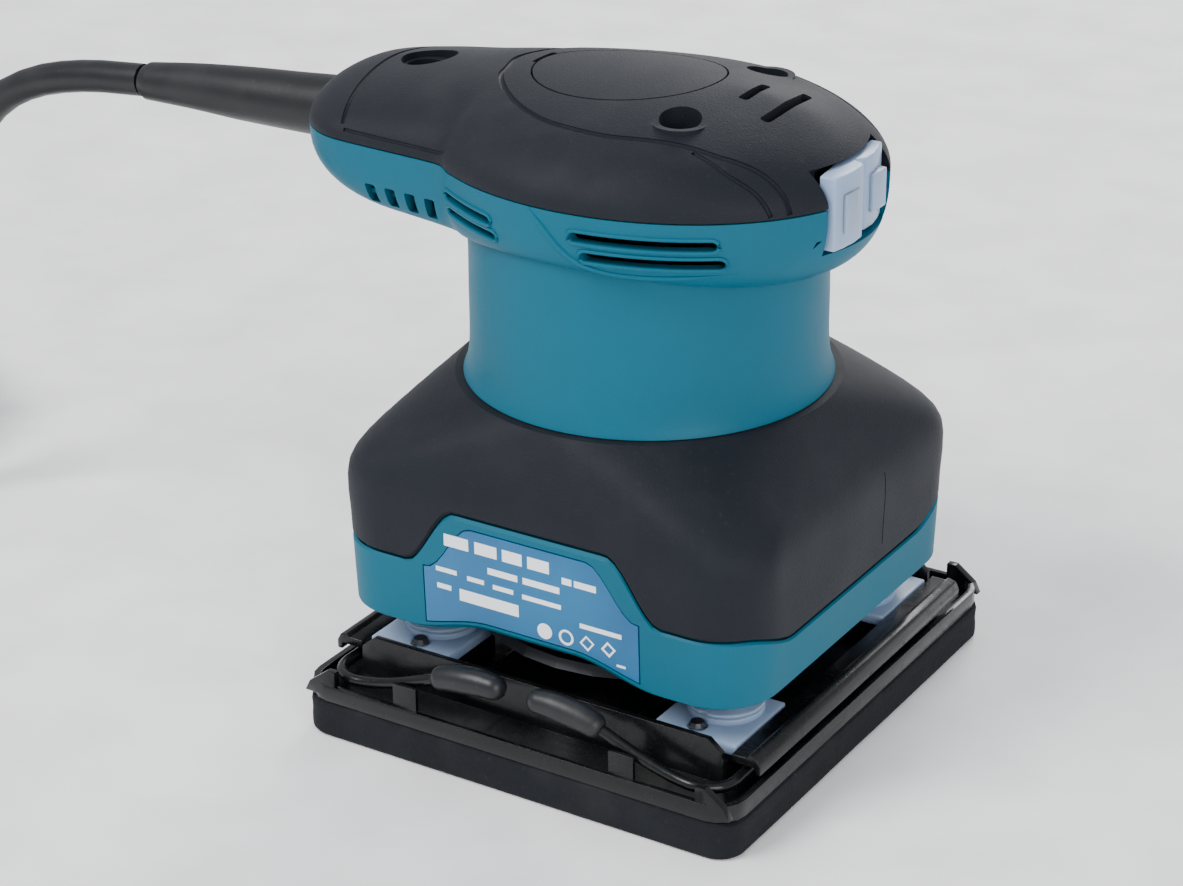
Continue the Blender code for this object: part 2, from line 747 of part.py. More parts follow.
def rounded_box(half_x, half_y, corner, low, high, steps=4):
    """A block with rounded upright corners, about the pad's centre."""
    outline = []
    for index, (sx, sy) in enumerate(((1, 1), (-1, 1), (-1, -1), (1, -1))):
        for i in range(steps + 1):
            turn = math.radians(90.0 * index + 90.0 * i / steps)
            x = sx * (half_x - corner) + corner * math.cos(turn)
            y = sy * (half_y - corner) + corner * math.sin(turn)
            outline.append((x + ORBIT, y))
    return prism(outline, low, high)


def make_pad(pad):
    """The foam, the plate with its rims and bearing seat, the bearing and the four legs."""
    solid("foam_pad", rounded_box(PAD_X / 2, PAD_Y / 2, PAD_CORNER, 0.0, FOAM_THICK), "foam", pad)
    half_x, half_y = PAD_X / 2 - 0.0004, PAD_Y / 2 - 0.0004
    block = rounded_box(half_x, half_y, PAD_CORNER, FOAM_THICK + GAP, PLATE_TOP)
    plate = solid("pad_plate", block, "black_plastic", pad)
    tray = rounded_box(half_x - 0.0014, half_y - 0.0012, PAD_CORNER - 0.001, FLOOR, 0.0300)
    cut(plate, tray, "plate_tray")
    join(plate, rod(BOSS, (ORBIT, 0, 0.0095), (ORBIT, 0, 0.0186), 24), "bearing_boss_pad")
    cut(plate, rod(0.0113, (ORBIT, 0, 0.0115), (ORBIT, 0, 0.0300), 24), "pad_bearing_seat")
    for i, side in enumerate((-1, 1)):
        make_side_wall(plate, i, side)
        for j, end in enumerate((-1, 1)):
            make_pedestal(plate, f"{i}_{j}", end, side)
            make_end_block(plate, side, end, f"end_block_{i}_{j}")
    for j, end in enumerate((-1, 1)):
        x = ORBIT + end * 0.0255
        tab = box((x - 0.0028, -0.0546, 0.0110), (x + 0.0028, -0.0537, 0.0166))
        join(plate, tab, f"hook_tab_{j}")
    ring("pad_bearing", 0.0110, 0.0040, 0.0119, 0.0183, "steel", pad, centre=(ORBIT, 0.0))

    number = 0
    for side in (-1, 1):
        for end in (-1, 1):
            number += 1
            make_leg(pad, number, end, side)


def make_side_wall(plate, number, side):
    """The upright wall between the levers and the legs."""
    wall = [
        (ORBIT - 0.0430, FLOOR - 0.001),
        (ORBIT + 0.0430, FLOOR - 0.001),
        (ORBIT + 0.0425, 0.0170),
        (ORBIT + 0.0395, 0.0195),
        (ORBIT - 0.0395, 0.0195),
        (ORBIT - 0.0425, 0.0170),
    ]
    low, high = sorted((side * 0.0452, side * 0.0438))
    join(plate, prism(wall, low, high, "y"), f"side_wall_{number}")


def make_pedestal(plate, name, end, side):
    """The raised seat of a leg's foot, joined to the wall beside it."""
    x = ORBIT + end * LEG_X
    low = (x - FOOT_X + 0.001, min(side * 0.0216, side * 0.0445), FLOOR - 0.001)
    high = (x + FOOT_X - 0.001, max(side * 0.0216, side * 0.0445), PEDESTAL)
    join(plate, box(low, high), f"pedestal_{name}")


def make_end_block(plate, side, end, name):
    """A block that slopes down to the corner of the plate, beyond the lever's bend."""
    outline = [
        (ORBIT + end * 0.0425, FLOOR - 0.001),
        (ORBIT + end * 0.0500, FLOOR - 0.001),
        (ORBIT + end * 0.0488, 0.0118),
        (ORBIT + end * 0.0445, 0.0150),
        (ORBIT + end * 0.0425, 0.0150),
    ]
    low, high = sorted((side * 0.0553, side * 0.0536))
    join(plate, prism(outline, low, high, "y"), name)


def make_leg(pad, number, end, side):
    """A nylon leg: a square foot on the plate and a round post up into the housing."""
    x, y = ORBIT + end * LEG_X, side * LEG_Y
    low = PEDESTAL + GAP
    high = low + 0.0025
    block = box((x - FOOT_X, y - FOOT_Y, low), (x + FOOT_X, y + FOOT_Y, high))
    foot = solid(f"leg_{number}", block, "nylon", pad)
    post = y - side * 0.0025
    root = rod(0.0072, (x, post, low + 0.001), (x, post, 0.0215), 14, end_radius=0.0056)
    join(foot, root, f"leg_root_{number}")
    join(foot, rod(0.0048, (x, post, 0.0205), (x, post, 0.0388), 14), f"leg_post_{number}")
    head = high + GAP
    profile = [(0.0, head + 0.0008), (0.0014, head + 0.0008), (0.0018, head), (0.0, head)]
    spot = (x - end * 0.0010, y + side * 0.0070)
    turned(f"leg_screw_{number}", profile, "dark_steel", pad, centre=spot, sides=10)


def wire(name, route, radius, surface, holder=None, rings=2):
    """A round wire or cord along a route: a curve with a bevel and closed ends."""
    curve = bpy.data.curves.new(name, "CURVE")
    curve.dimensions = "3D"
    curve.bevel_depth = radius
    curve.bevel_resolution = rings
    curve.use_fill_caps = True
    line = curve.splines.new("POLY")
    line.points.add(len(route) - 1)
    for point, place in zip(line.points, route):
        point.co = (*place, 1.0)
    place_piece(bpy.data.objects.new(name, curve), surface, holder)


def smooth_route(points, spacing):
    """A smooth curve through a route's points, read at even steps."""
    spots = [Vector(p) for p in points]
    ends = [spots[0] * 2 - spots[1], *spots, spots[-1] * 2 - spots[-2]]
    fine = []
    for a, b, c, d in zip(ends, ends[1:], ends[2:], ends[3:]):
        for i in range(24):
            t = i / 24
            even = (c - a) * 0.5
            odd = (d - b) * 0.5
            fine.append(
                b * (2 * t**3 - 3 * t**2 + 1) + even * (t**3 - 2 * t**2 + t)
                + c * (3 * t**2 - 2 * t**3) + odd * (t**3 - t**2)
            )
    fine.append(spots[-1])
    total = sum((b - a).length for a, b in zip(fine, fine[1:]))
    count = max(2, round(total / spacing))
    route, walked, target = [fine[0]], 0.0, total / count
    for a, b in zip(fine, fine[1:]):
        step = (b - a).length
        while walked + step >= target and len(route) < count:
            route.append(a.lerp(b, (target - walked) / step))
            target += total / count
        walked += step
    route.append(fine[-1])
    return route


def make_lever(name, end, holder):
    """A bent wire lever: across the pad under its clamp, then along the label side to its grip."""
    hinge = ORBIT + end * LEVER_X
    bends = [
        (0.0000, -0.0462, LEVER_Z),
        (0.0006, -0.0485, LEVER_Z),
        (0.0028, -0.0506, 0.0127),
        (0.0055, LEVER_Y, 0.0129),
        (0.0085, LEVER_Y, 0.0131),
        (0.0130, LEVER_Y, 0.0141),
        (0.0190, LEVER_Y, 0.0160),
        (0.0255, LEVER_Y, 0.0186),
    ]
    route = [(hinge, 0.0410, LEVER_Z)] + [(hinge - end * x, y, z) for x, y, z in bends]
    wire(name, route, WIRE, "black_plastic", holder)
    tip = ((0.0262, 0.0190), (0.0310, 0.0203), (0.0370, 0.0211), (0.0432, 0.0210))
    grip_route = [(hinge - end * x, LEVER_Y, z) for x, z in tip]
    wire(name + "_grip", smooth_route(grip_route, 0.0034), 0.0027, "black_plastic", holder, rings=3)


def make_clamp(name, end, holder):
    """A paper clamp: a bar along the pad's end, with a ridge that turns down over the plate's rim."""
    points = [
        (0.0438, 0.0150), (0.0438, 0.0168), (0.0470, 0.0168), (0.0478, 0.0175), (0.0494, 0.0170),
        (0.0502, 0.0155), (0.0502, 0.0136), (0.0490, 0.0136), (0.0488, 0.0150),
    ]
    outline = [(ORBIT + end * x, z) for x, z in points]
    solid(name, prism(outline, -0.0436, 0.0436, "y"), "black_plastic", holder)


# ---------------------------------------------------------------- screws, cord and plug


def make_screws():
    """The screws that hold the cover, each at the bottom of its well."""
    profile = [
        (0.0, 0.1188),
        (0.0028, 0.1186),
        (0.0034, 0.1163),
        (0.0017, 0.1163),
        (0.0017, 0.1100),
        (0.0, 0.1092),
    ]
    for i, (x, y) in enumerate(COVER_SCREWS):
        turned(f"cover_screw_{i + 1}", profile, "steel", centre=(x, y), sides=14)


GUARD_START = -0.0700
GUARD_END = -0.1280
GUARD_DROP = 0.0027
# the cord's middle from its guard down to the floor and up to its coil
CORD_ROUTE = (
    (-0.1285, 0.0000, 0.1116),
    (-0.1450, 0.0000, 0.1099),
    (-0.1600, 0.0000, 0.1062),
    (-0.1720, 0.0000, 0.0998),
    (-0.1808, -0.0002, 0.0900),
    (-0.1858, -0.0006, 0.0780),
    (-0.1876, -0.0011, 0.0650),
    (-0.1879, -0.0017, 0.0540),
    (-0.1882, -0.0025, 0.0440),
    (-0.1911, -0.0069, 0.0240),
    (-0.1995, -0.0189, 0.0094),
    (-0.2109, -0.0353, 0.0042),
    (-0.2174, -0.0446, 0.0040),
    (-0.2342, -0.0559, 0.0040),
    (-0.2540, -0.0598, 0.0040),
)
COIL_CENTRE = (-0.2540, -0.0080)
COIL_COLUMNS = 2
COIL_ROWS = 4
COIL_FLOOR = 0.0016
TIE_ANGLE = math.radians(40.0)
PLUG_TURN = 0.0525  # the plug's axis from the middle of the coil


def make_cord_guard():
    """The tapered sleeve on the cord, held in the end of the handle by its collar."""
    stations = (
        (GUARD_START, 0.0068, 0.0),
        (-0.0740, 0.0068, 0.0),
        (-0.0820, 0.0064, 0.0003),
        (-0.1000, 0.0059, 0.0011),
        (-0.1140, 0.0050, 0.0017),
        (GUARD_END, 0.0041, GUARD_DROP),
    )
    turns = [i * math.tau / 12 for i in range(12)]
    rows = []
    for x, radius, drop in stations:
        middle = Vector((x, 0.0, CORD_Z - drop))
        rows.append([middle + radius * Vector((0.0, math.cos(t), math.sin(t))) for t in turns])
    solid("cord_guard", loft(rows), "cord")


def make_cord_clamp():
    """Inside the handle: the end of the lead, the bar that clamps it and the capacitor beside it."""
    stub = CORD_DIAMETER / 2
    solid("inner_lead", rod(stub, (-0.0697, 0, CORD_Z), (-0.0602, 0, CORD_Z), 12), "cord")
    top = CORD_Z + stub + GAP
    bar_block = box((-0.0670, -0.0095, top), (-0.0622, 0.0095, top + 0.0016))
    bar = solid("cable_clamp", bar_block, "black_plastic")
    for i, side in enumerate((-1, 1)):
        spot = (-0.0646, side * 0.0066)
        cut(bar, rod(0.0017, (*spot, 0.1100), (*spot, 0.1300), 12), f"clamp_hole_{i}")
        head = top + 0.0016 + GAP
        profile = [(0.0, head + 0.0009), (0.0021, head + 0.0008), (0.0023, head), (0.0013, head)]
        profile += [(0.0013, head - 0.0090), (0.0, head - 0.0094)]
        turned(f"clamp_screw_{i + 1}", profile, "steel", centre=spot, sides=12)
    solid("capacitor", box((-0.0450, 0.0080, 0.1056), (-0.0290, 0.0140, 0.1165)), "label")


def make_cord():
    """The cord from its guard to the coil, the coil as one turned ring, and the tie round it."""
    wire("power_cord", smooth_route(CORD_ROUTE, 0.0060), CORD_DIAMETER / 2, "cord", rings=2)
    reach = COIL_COLUMNS * CORD_DIAMETER / 2
    top = COIL_FLOOR + COIL_ROWS * CORD_DIAMETER
    profile = [
        (COIL_MEAN / 2 + reach - 0.0015, top),
        (COIL_MEAN / 2 + reach, top - 0.0015),
        (COIL_MEAN / 2 + reach, COIL_FLOOR + 0.0015),
        (COIL_MEAN / 2 + reach - 0.0015, COIL_FLOOR),
        (COIL_MEAN / 2 - reach + 0.0015, COIL_FLOOR),
        (COIL_MEAN / 2 - reach, COIL_FLOOR + 0.0015),
        (COIL_MEAN / 2 - reach, top - 0.0015),
        (COIL_MEAN / 2 - reach + 0.0015, top),
    ]
    turned("cord_coil", profile, "cord", centre=COIL_CENTRE, sides=30, closed=True)

    outer = COIL_MEAN / 2 + reach + GAP
    inner = COIL_MEAN / 2 - reach - GAP
    band = 0.0009
    low = COIL_FLOOR - GAP - band
    block = tie_block((inner - band, outer + band), (low, top + GAP + band), 0.0030)
    tie = solid("cord_tie", block, "black_plastic")
    cut(tie, tie_block((inner, outer), (low + band, top + GAP), 0.0060), "tie_hollow")


def tie_block(radii, heights, half_width):
    """A block over the coil's section at the tie, square to the turns."""
    shape = box((radii[0], -half_width, heights[0]), (radii[1], half_width, heights[1]))
    turn = Matrix.Rotation(TIE_ANGLE, 4, "Z")
    shape.transform(Matrix.Translation((*COIL_CENTRE, 0.0)) @ turn)
    return shape


def make_plug():
    """A two-pin mains plug lying beside the coil, its sleeve where the last turn leaves."""
    start = COIL_CENTRE[1] - 0.0060
    x = COIL_CENTRE[0] - PLUG_TURN
    # along the plug, half width, half height, height of the middle
    stations = (
        (0.0000, 0.0043, 0.0043, 0.0046),
        (0.0120, 0.0048, 0.0048, 0.0054),
        (0.0260, 0.0058, 0.0058, 0.0070),
        (0.0300, 0.0085, 0.0070, 0.0080),
        (0.0400, 0.0150, 0.0083, 0.0088),
        (0.0500, 0.0178, 0.0085, 0.0088),
        (0.0700, 0.0180, 0.0085, 0.0088),
        (0.0760, 0.0165, 0.0081, 0.0088),
    )
    turns = [i * math.tau / 16 for i in range(16)]
    rows = []
    for along, half, tall, height in stations:
        square = 2 / (2.0 + 60.0 * max(0.0, half - 0.006))
        row = []
        for t in turns:
            side = math.copysign(abs(math.cos(t)) ** square, math.cos(t)) * half
            rise = math.copysign(abs(math.sin(t)) ** square, math.sin(t)) * tall
            row.append(Vector((x + side, start + along, height + rise)))
        rows.append(row)
    solid("plug_body", loft(rows), "cord")
    for i, side in enumerate((-1, 1)):
        base = Vector((x + side * 0.0095, start + 0.0760 + GAP, 0.0088))
        solid(f"plug_pin_{i + 1}", rod(0.0024, base, base + Vector((0, 0.0190, 0)), 12), "brass")


def main():
    rotor = pivot("motor_axis", (0.0, 0.0, 0.0))
    pad = pivot("pad_axis", (ORBIT, 0.0, 0.0), rotor)
    front = pivot("front_lever_axis", (ORBIT + LEVER_X, 0.0, LEVER_Z), pad)
    rear = pivot("rear_lever_axis", (ORBIT - LEVER_X, 0.0, LEVER_Z), pad)
    reach, height = CLAMP_HINGE
    front_clamp = pivot("front_clamp_axis", (ORBIT + reach, 0.0, height), pad)
    rear_clamp = pivot("rear_clamp_axis", (ORBIT - reach, 0.0, height), pad)
    rocker = pivot("switch_axis", (0.0422, 0.0, 0.1171))

    make_base()
    make_label()
    make_motor_housing()
    make_top_cover()
    make_inlay()
    make_switch(rocker)
    make_motor(rotor)
    make_pad(pad)
    make_lever("front_lever", 1, front)
    make_lever("rear_lever", -1, rear)
    make_clamp("front_clamp", 1, front_clamp)
    make_clamp("rear_clamp", -1, rear_clamp)
    make_screws()
    make_cord_guard()
    make_cord_clamp()
    make_cord()
    make_plug()


main()
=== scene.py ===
import json
import math

import bmesh
import bpy
from mathutils import Matrix, Vector, noise
from mathutils.bvhtree import BVHTree


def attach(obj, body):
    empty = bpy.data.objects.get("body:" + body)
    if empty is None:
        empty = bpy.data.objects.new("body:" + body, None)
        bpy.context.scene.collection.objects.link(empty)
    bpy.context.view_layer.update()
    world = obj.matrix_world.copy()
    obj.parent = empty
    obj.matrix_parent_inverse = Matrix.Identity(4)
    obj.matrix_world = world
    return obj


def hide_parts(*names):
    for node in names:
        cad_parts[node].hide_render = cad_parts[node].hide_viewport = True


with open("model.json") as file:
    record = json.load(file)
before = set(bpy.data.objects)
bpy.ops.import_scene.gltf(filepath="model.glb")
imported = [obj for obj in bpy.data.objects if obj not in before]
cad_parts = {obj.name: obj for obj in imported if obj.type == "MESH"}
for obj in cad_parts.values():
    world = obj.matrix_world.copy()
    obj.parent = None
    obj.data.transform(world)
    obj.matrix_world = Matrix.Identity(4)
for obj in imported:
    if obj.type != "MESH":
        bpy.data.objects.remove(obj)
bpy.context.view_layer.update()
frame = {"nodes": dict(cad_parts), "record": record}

# ---------------------------------------------------------------- sizes, in metres

GAP = 0.0003  # clearance between touching pieces
ORBIT = 0.0008  # the pad's centre is this far off the motor's axis
HEAD_SEAM = 0.1184
HEAD_FRONT = 0.0490
HEAD_HALF = 0.0393
HANDLE_END = -0.0740
HANDLE_HALF = 0.0270
NECK = 0.0362
NECK_FLARE = 0.0377
BASE_BOTTOM = 0.0255
SEAM_SIDE = 0.0400
SEAM_FRONT = 0.0355
ARCH_RISE = 0.0130
BOOT_TOP = 0.0723
SHELL = 0.0022  # wall of the moulded shells
CORD_DIAMETER = 0.0072
CORD_Z = 0.1143
COVER_WELLS = ((-0.0530, 0.0), (0.0170, -0.0168), (0.0170, 0.0168))
SWITCH_HALF = 0.0126
SWITCH_LOW = 0.1090
SWITCH_HIGH = 0.1252
SWITCH_BACK = 0.0418
PAD_HALF_X = 0.0510
PAD_HALF_Y = 0.0560
LEG_SPOTS = ((1, -1, -1), (2, 1, -1), (3, -1, 1), (4, 1, 1))  # number, end, side

# the cover's top along its middle: distance along X, height
CROWN = (
    (-0.0740, 0.1295),
    (-0.0600, 0.1284),
    (-0.0450, 0.1300),
    (-0.0300, 0.1324),
    (-0.0140, 0.1335),
    (0.0040, 0.1345),
    (0.0150, 0.1347),
    (0.0250, 0.1341),
    (0.0350, 0.1329),
    (0.0490, 0.1300),
)
# the base: height, half length, half width, corner radius
BASE_SECTIONS = (
    (0.0240, 0.0483, 0.0453, 0.0125),
    (0.0450, 0.0490, 0.0460, 0.0130),
    (0.0550, 0.0491, 0.0461, 0.0130),
    (0.0595, 0.0477, 0.0451, 0.0155),
    (0.0660, 0.0436, 0.0424, 0.0260),
    (0.0723, 0.0394, 0.0394, 0.0394),
)

# the cord's middle from its guard down to the floor and up to its coil
CORD_ROUTE = (
    (-0.1285, 0.0000, 0.1116),
    (-0.1450, 0.0000, 0.1099),
    (-0.1600, 0.0000, 0.1062),
    (-0.1720, 0.0000, 0.0998),
    (-0.1808, -0.0002, 0.0900),
    (-0.1858, -0.0006, 0.0780),
    (-0.1876, -0.0011, 0.0650),
    (-0.1879, -0.0017, 0.0540),
    (-0.1882, -0.0025, 0.0440),
    (-0.1911, -0.0069, 0.0240),
    (-0.1995, -0.0189, 0.0094),
    (-0.2109, -0.0353, 0.0042),
    (-0.2174, -0.0446, 0.0040),
    (-0.2342, -0.0559, 0.0040),
    (-0.2540, -0.0598, 0.0040),
)
COIL_CENTRE = Vector((-0.2540, -0.0080, 0.0))
# the coil: degrees travelled round it, distance from its centre
COIL_REACH = (
    (0, 0.0518),
    (70, 0.0436),
    (330, 0.0436),
    (430, 0.0364),
    (1360, 0.0364),
    (1460, 0.0436),
    (2100, 0.0436),
    (2210, 0.0525),
)
# the coil: degrees travelled round it, height
COIL_HEIGHT = (
    (0, 0.0040),
    (70, 0.0052),
    (400, 0.0052),
    (1340, 0.0240),
    (1390, 0.0268),
    (1440, 0.0268),
    (2160, 0.0124),
    (2185, 0.01155),
    (2200, 0.0095),
    (2210, 0.0079),
)
# from the coil into the plug
CORD_TAIL = (
    (-0.2983, -0.0367, 0.0066),
    (-0.3020, -0.0308, 0.0057),
    (-0.3047, -0.0243, 0.0050),
    (-0.3063, -0.0180, 0.0047),
    (-0.3065, -0.0143, 0.0046),
)
PLUG_X = -0.3065
PLUG_START = -0.0140
TIE_MIDDLE = 0.0200
TIE_DROP = 0.0034

# ---------------------------------------------------------------- camera and light


def place_camera():
    """The camera, turned by its yaw, pitch and roll."""
    yaw, pitch, roll = -0.563171, -0.431180, -0.009638
    stand = (0.28881, -0.47967, 0.31246)
    flat = math.cos(pitch)
    forward = Vector((flat * math.sin(yaw), flat * math.cos(yaw), math.sin(pitch)))
    level = Vector((math.cos(yaw), -math.sin(yaw), 0.0))
    above = level.cross(forward)
    right = level * math.cos(roll) + above * math.sin(roll)
    up = above * math.cos(roll) - level * math.sin(roll)
    lens = bpy.data.cameras.new("view")
    lens.sensor_width = 36.0
    lens.lens = 91.3
    lens.clip_start = 0.01
    camera = bpy.data.objects.new("view", lens)
    turn = Matrix((right, up, -forward)).transposed().to_4x4()
    camera.matrix_world = Matrix.Translation(stand) @ turn
    bpy.context.scene.collection.objects.link(camera)
    bpy.context.scene.camera = camera


def soft_light(name, place, target, size, power):
    """A round soft light that faces a target."""
    panel = bpy.data.lights.new(name, "AREA")
    panel.shape = "DISK"
    panel.size = size
    panel.energy = power
    lamp = bpy.data.objects.new(name, panel)
    aim = (Vector(target) - Vector(place)).to_track_quat("-Z", "Y")
    lamp.matrix_world = Matrix.Translation(place) @ aim.to_matrix().to_4x4()
    bpy.context.scene.collection.objects.link(lamp)


def light_room():
    world = bpy.data.worlds.new("studio")
    world.use_nodes = True
    backdrop = world.node_tree.nodes["Background"]
    backdrop.inputs["Color"].default_value = (0.93, 0.95, 1.0, 1.0)
    backdrop.inputs["Strength"].default_value = 0.75
    bpy.context.scene.world = world
    middle = (0.0, 0.0, 0.07)
    soft_light("key", (-0.55, -0.75, 1.10), middle, 0.70, 17.0)
    soft_light("front_fill", (1.00, -0.70, 0.55), middle, 0.80, 9.0)
    soft_light("back_edge", (-0.20, 1.10, 0.80), middle, 0.60, 9.0)


# ---------------------------------------------------------------- surfaces


def new_group(name, inputs, outputs):
    group = bpy.data.node_groups.new(name, "ShaderNodeTree")
    for label, kind, value in inputs:
        socket = group.interface.new_socket(label, in_out="INPUT", socket_type=kind)
        socket.default_value = value
    for label, kind in outputs:
        group.interface.new_socket(label, in_out="OUTPUT", socket_type=kind)
    return group, group.nodes.new("NodeGroupInput"), group.nodes.new("NodeGroupOutput")


COLOUR = "NodeSocketColor"
NUMBER = "NodeSocketFloat"


def feed(tree, socket, value):
    """Links an input to a socket, or sets its number or colour."""
    if isinstance(value, bpy.types.NodeSocket):
        tree.links.new(value, socket)
    else:
        socket.default_value = value


def placed(tree, group, **given):
    """A node group in a material, with its own values."""
    node = tree.nodes.new("ShaderNodeGroup")
    node.node_tree = group
    for label, value in given.items():
        feed(tree, node.inputs[label], value)
    return node.outputs


def ranged(tree, source, low, high, to_low, to_high):
    """A number moved from one range to another."""
    node = tree.nodes.new("ShaderNodeMapRange")
    labels = ("Value", "From Min", "From Max", "To Min", "To Max")
    for label, value in zip(labels, (source, low, high, to_low, to_high)):
        feed(tree, node.inputs[label], value)
    return node.outputs["Result"]


def worked(tree, step, first, second):
    """Two numbers put through one step of arithmetic."""
    node = tree.nodes.new("ShaderNodeMath")
    node.operation = step
    for socket, value in zip(node.inputs, (first, second)):
        feed(tree, socket, value)
    return node.outputs[0]


def blended(tree, share, first, second):
    """Two colours mixed."""
    node = tree.nodes.new("ShaderNodeMix")
    node.data_type = "RGBA"
    for label, value in (("Factor", share), ("A", first), ("B", second)):
        feed(tree, next(s for s in node.inputs if s.name == label and s.enabled), value)
    return next(s for s in node.outputs if s.enabled)


def speckle(tree, scale, detail=2.0, stretch=None):
    """A noise over the piece's own coordinates. Scale is in features per metre."""
    place = tree.nodes.new("ShaderNodeTexCoord").outputs["Object"]
    if stretch:
        mapping = tree.nodes.new("ShaderNodeMapping")
        mapping.inputs["Scale"].default_value = stretch
        tree.links.new(place, mapping.inputs["Vector"])
        place = mapping.outputs["Vector"]
    node = tree.nodes.new("ShaderNodeTexNoise")
    node.inputs["Detail"].default_value = detail
    feed(tree, node.inputs["Scale"], scale)
    tree.links.new(place, node.inputs["Vector"])
    return node.outputs[0]


def moulding_group():
    """Moulded plastic: slow changes of tone, spark grain, and the roughness of both."""
    group, given, out = new_group(
        "moulded_grain",
        (
            ("Colour", COLOUR, (0.5, 0.5, 0.5, 1.0)),
            ("Tint", COLOUR, (0.5, 0.5, 0.5, 1.0)),
            ("Roughness", NUMBER, 0.5),
            ("Spread", NUMBER, 0.08),
            ("Grain", NUMBER, 1800.0),
        ),
        (("Colour", COLOUR), ("Roughness", NUMBER), ("Height", NUMBER)),
    )
    tone = ranged(group, speckle(group, 38.0, 3.0), 0.35, 0.65, 0.0, 1.0)
    fine = speckle(group, given.outputs["Grain"], 3.0)
    colour = blended(group, tone, given.outputs["Colour"], given.outputs["Tint"])
    rough = given.outputs["Roughness"]
    for change in (fine, tone):
        centred = worked(group, "SUBTRACT", change, 0.5)
        swing = worked(group, "MULTIPLY", centred, given.outputs["Spread"])
        rough = worked(group, "ADD", rough, swing)
    group.links.new(colour, out.inputs["Colour"])
    group.links.new(rough, out.inputs["Roughness"])
    group.links.new(fine, out.inputs["Height"])
    return group


def dust_group():
    """Fine dust and palm marks: patches that lighten and dull the surface, more on top faces."""
    group, given, out = new_group(
        "settled_dust",
        (
            ("Colour", COLOUR, (0.5, 0.5, 0.5, 1.0)),
            ("Roughness", NUMBER, 0.5),
            ("Dust", COLOUR, (0.45, 0.44, 0.42, 1.0)),
            ("Amount", NUMBER, 0.1),
        ),
        (("Colour", COLOUR), ("Roughness", NUMBER)),
    )
    patches = ranged(group, speckle(group, 95.0, 6.0), 0.48, 0.78, 0.0, 1.0)
    specks = ranged(group, speckle(group, 900.0, 1.0), 0.66, 0.74, 0.0, 0.8)
    facing = group.nodes.new("ShaderNodeSeparateXYZ")
    group.links.new(group.nodes.new("ShaderNodeNewGeometry").outputs["Normal"], facing.inputs[0])
    lying = ranged(group, facing.outputs["Z"], -0.2, 1.0, 0.25, 1.0)
    cover = worked(group, "MULTIPLY", worked(group, "MAXIMUM", patches, specks), lying)
    share = worked(group, "MULTIPLY", cover, given.outputs["Amount"])
    dusted = blended(group, share, given.outputs["Colour"], given.outputs["Dust"])
    group.links.new(dusted, out.inputs["Colour"])
    added = worked(group, "MULTIPLY", share, 0.6)
    duller = worked(group, "ADD", given.outputs["Roughness"], added)
    group.links.new(duller, out.inputs["Roughness"])
    return group


def scuff_group():
    """Fine scratches in two directions, for the roughness and the height."""
    group, given, out = new_group(
        "hairline_scuffs",
        (("Roughness", NUMBER, 0.4), ("Strength", NUMBER, 0.1)),
        (("Roughness", NUMBER), ("Height", NUMBER)),
    )
    along = speckle(group, 500.0, 2.0, (0.06, 1.0, 1.0))
    across = speckle(group, 420.0, 2.0, (1.0, 0.07, 1.0))
    lines = ranged(group, worked(group, "MAXIMUM", along, across), 0.56, 0.74, 0.0, 1.0)
    added = worked(group, "MULTIPLY", lines, given.outputs["Strength"])
    rougher = worked(group, "ADD", given.outputs["Roughness"], added)
    group.links.new(rougher, out.inputs["Roughness"])
    group.links.new(lines, out.inputs["Height"])
    return group


GRAIN = moulding_group()
DUST = dust_group()
SCUFFS = scuff_group()


def finish(
    name, colour, roughness, tint=None, spread=0.10, grain=1800.0, grain_height=0.00004,
    dust=0.10, metallic=0.0, coat=0.0, scuffs=0.0, translucent=0.0, sheen=0.0, ior=1.5,
):
    """A finish for one material. Without a tint, the tint is the colour a little lighter."""
    made = bpy.data.materials.new(name)
    made.use_nodes = True
    tree = made.node_tree
    shader = tree.nodes["Principled BSDF"]
    plain = {
        "Metallic": metallic, "Coat Weight": coat, "Coat Roughness": 0.12,
        "Sheen Weight": sheen, "Sheen Roughness": 0.5, "IOR": ior,
    }
    if translucent:
        plain["Subsurface Weight"] = translucent
        plain["Subsurface Radius"] = (1.0, 1.0, 1.0)
        plain["Subsurface Scale"] = 0.004
    for label, value in plain.items():
        shader.inputs[label].default_value = value
    base = placed(
        tree, GRAIN, Colour=(*colour, 1.0), Tint=(*(tint or [c * 1.12 for c in colour]), 1.0),
        Roughness=roughness, Spread=spread, Grain=grain,
    )
    dusty = placed(tree, DUST, Colour=base["Colour"], Roughness=base["Roughness"], Amount=dust)
    tree.links.new(dusty["Colour"], shader.inputs["Base Color"])
    rough, height = dusty["Roughness"], base["Height"]
    if scuffs:
        worn = placed(tree, SCUFFS, Roughness=rough, Strength=scuffs)
        rough = worn["Roughness"]
        height = worn["Height"] if metallic else height
    tree.links.new(rough, shader.inputs["Roughness"])
    bump = tree.nodes.new("ShaderNodeBump")
    bump.inputs["Strength"].default_value = 0.6
    bump.inputs["Distance"].default_value = grain_height
    tree.links.new(height, bump.inputs["Height"])
    tree.links.new(bump.outputs["Normal"], shader.inputs["Normal"])
    return made


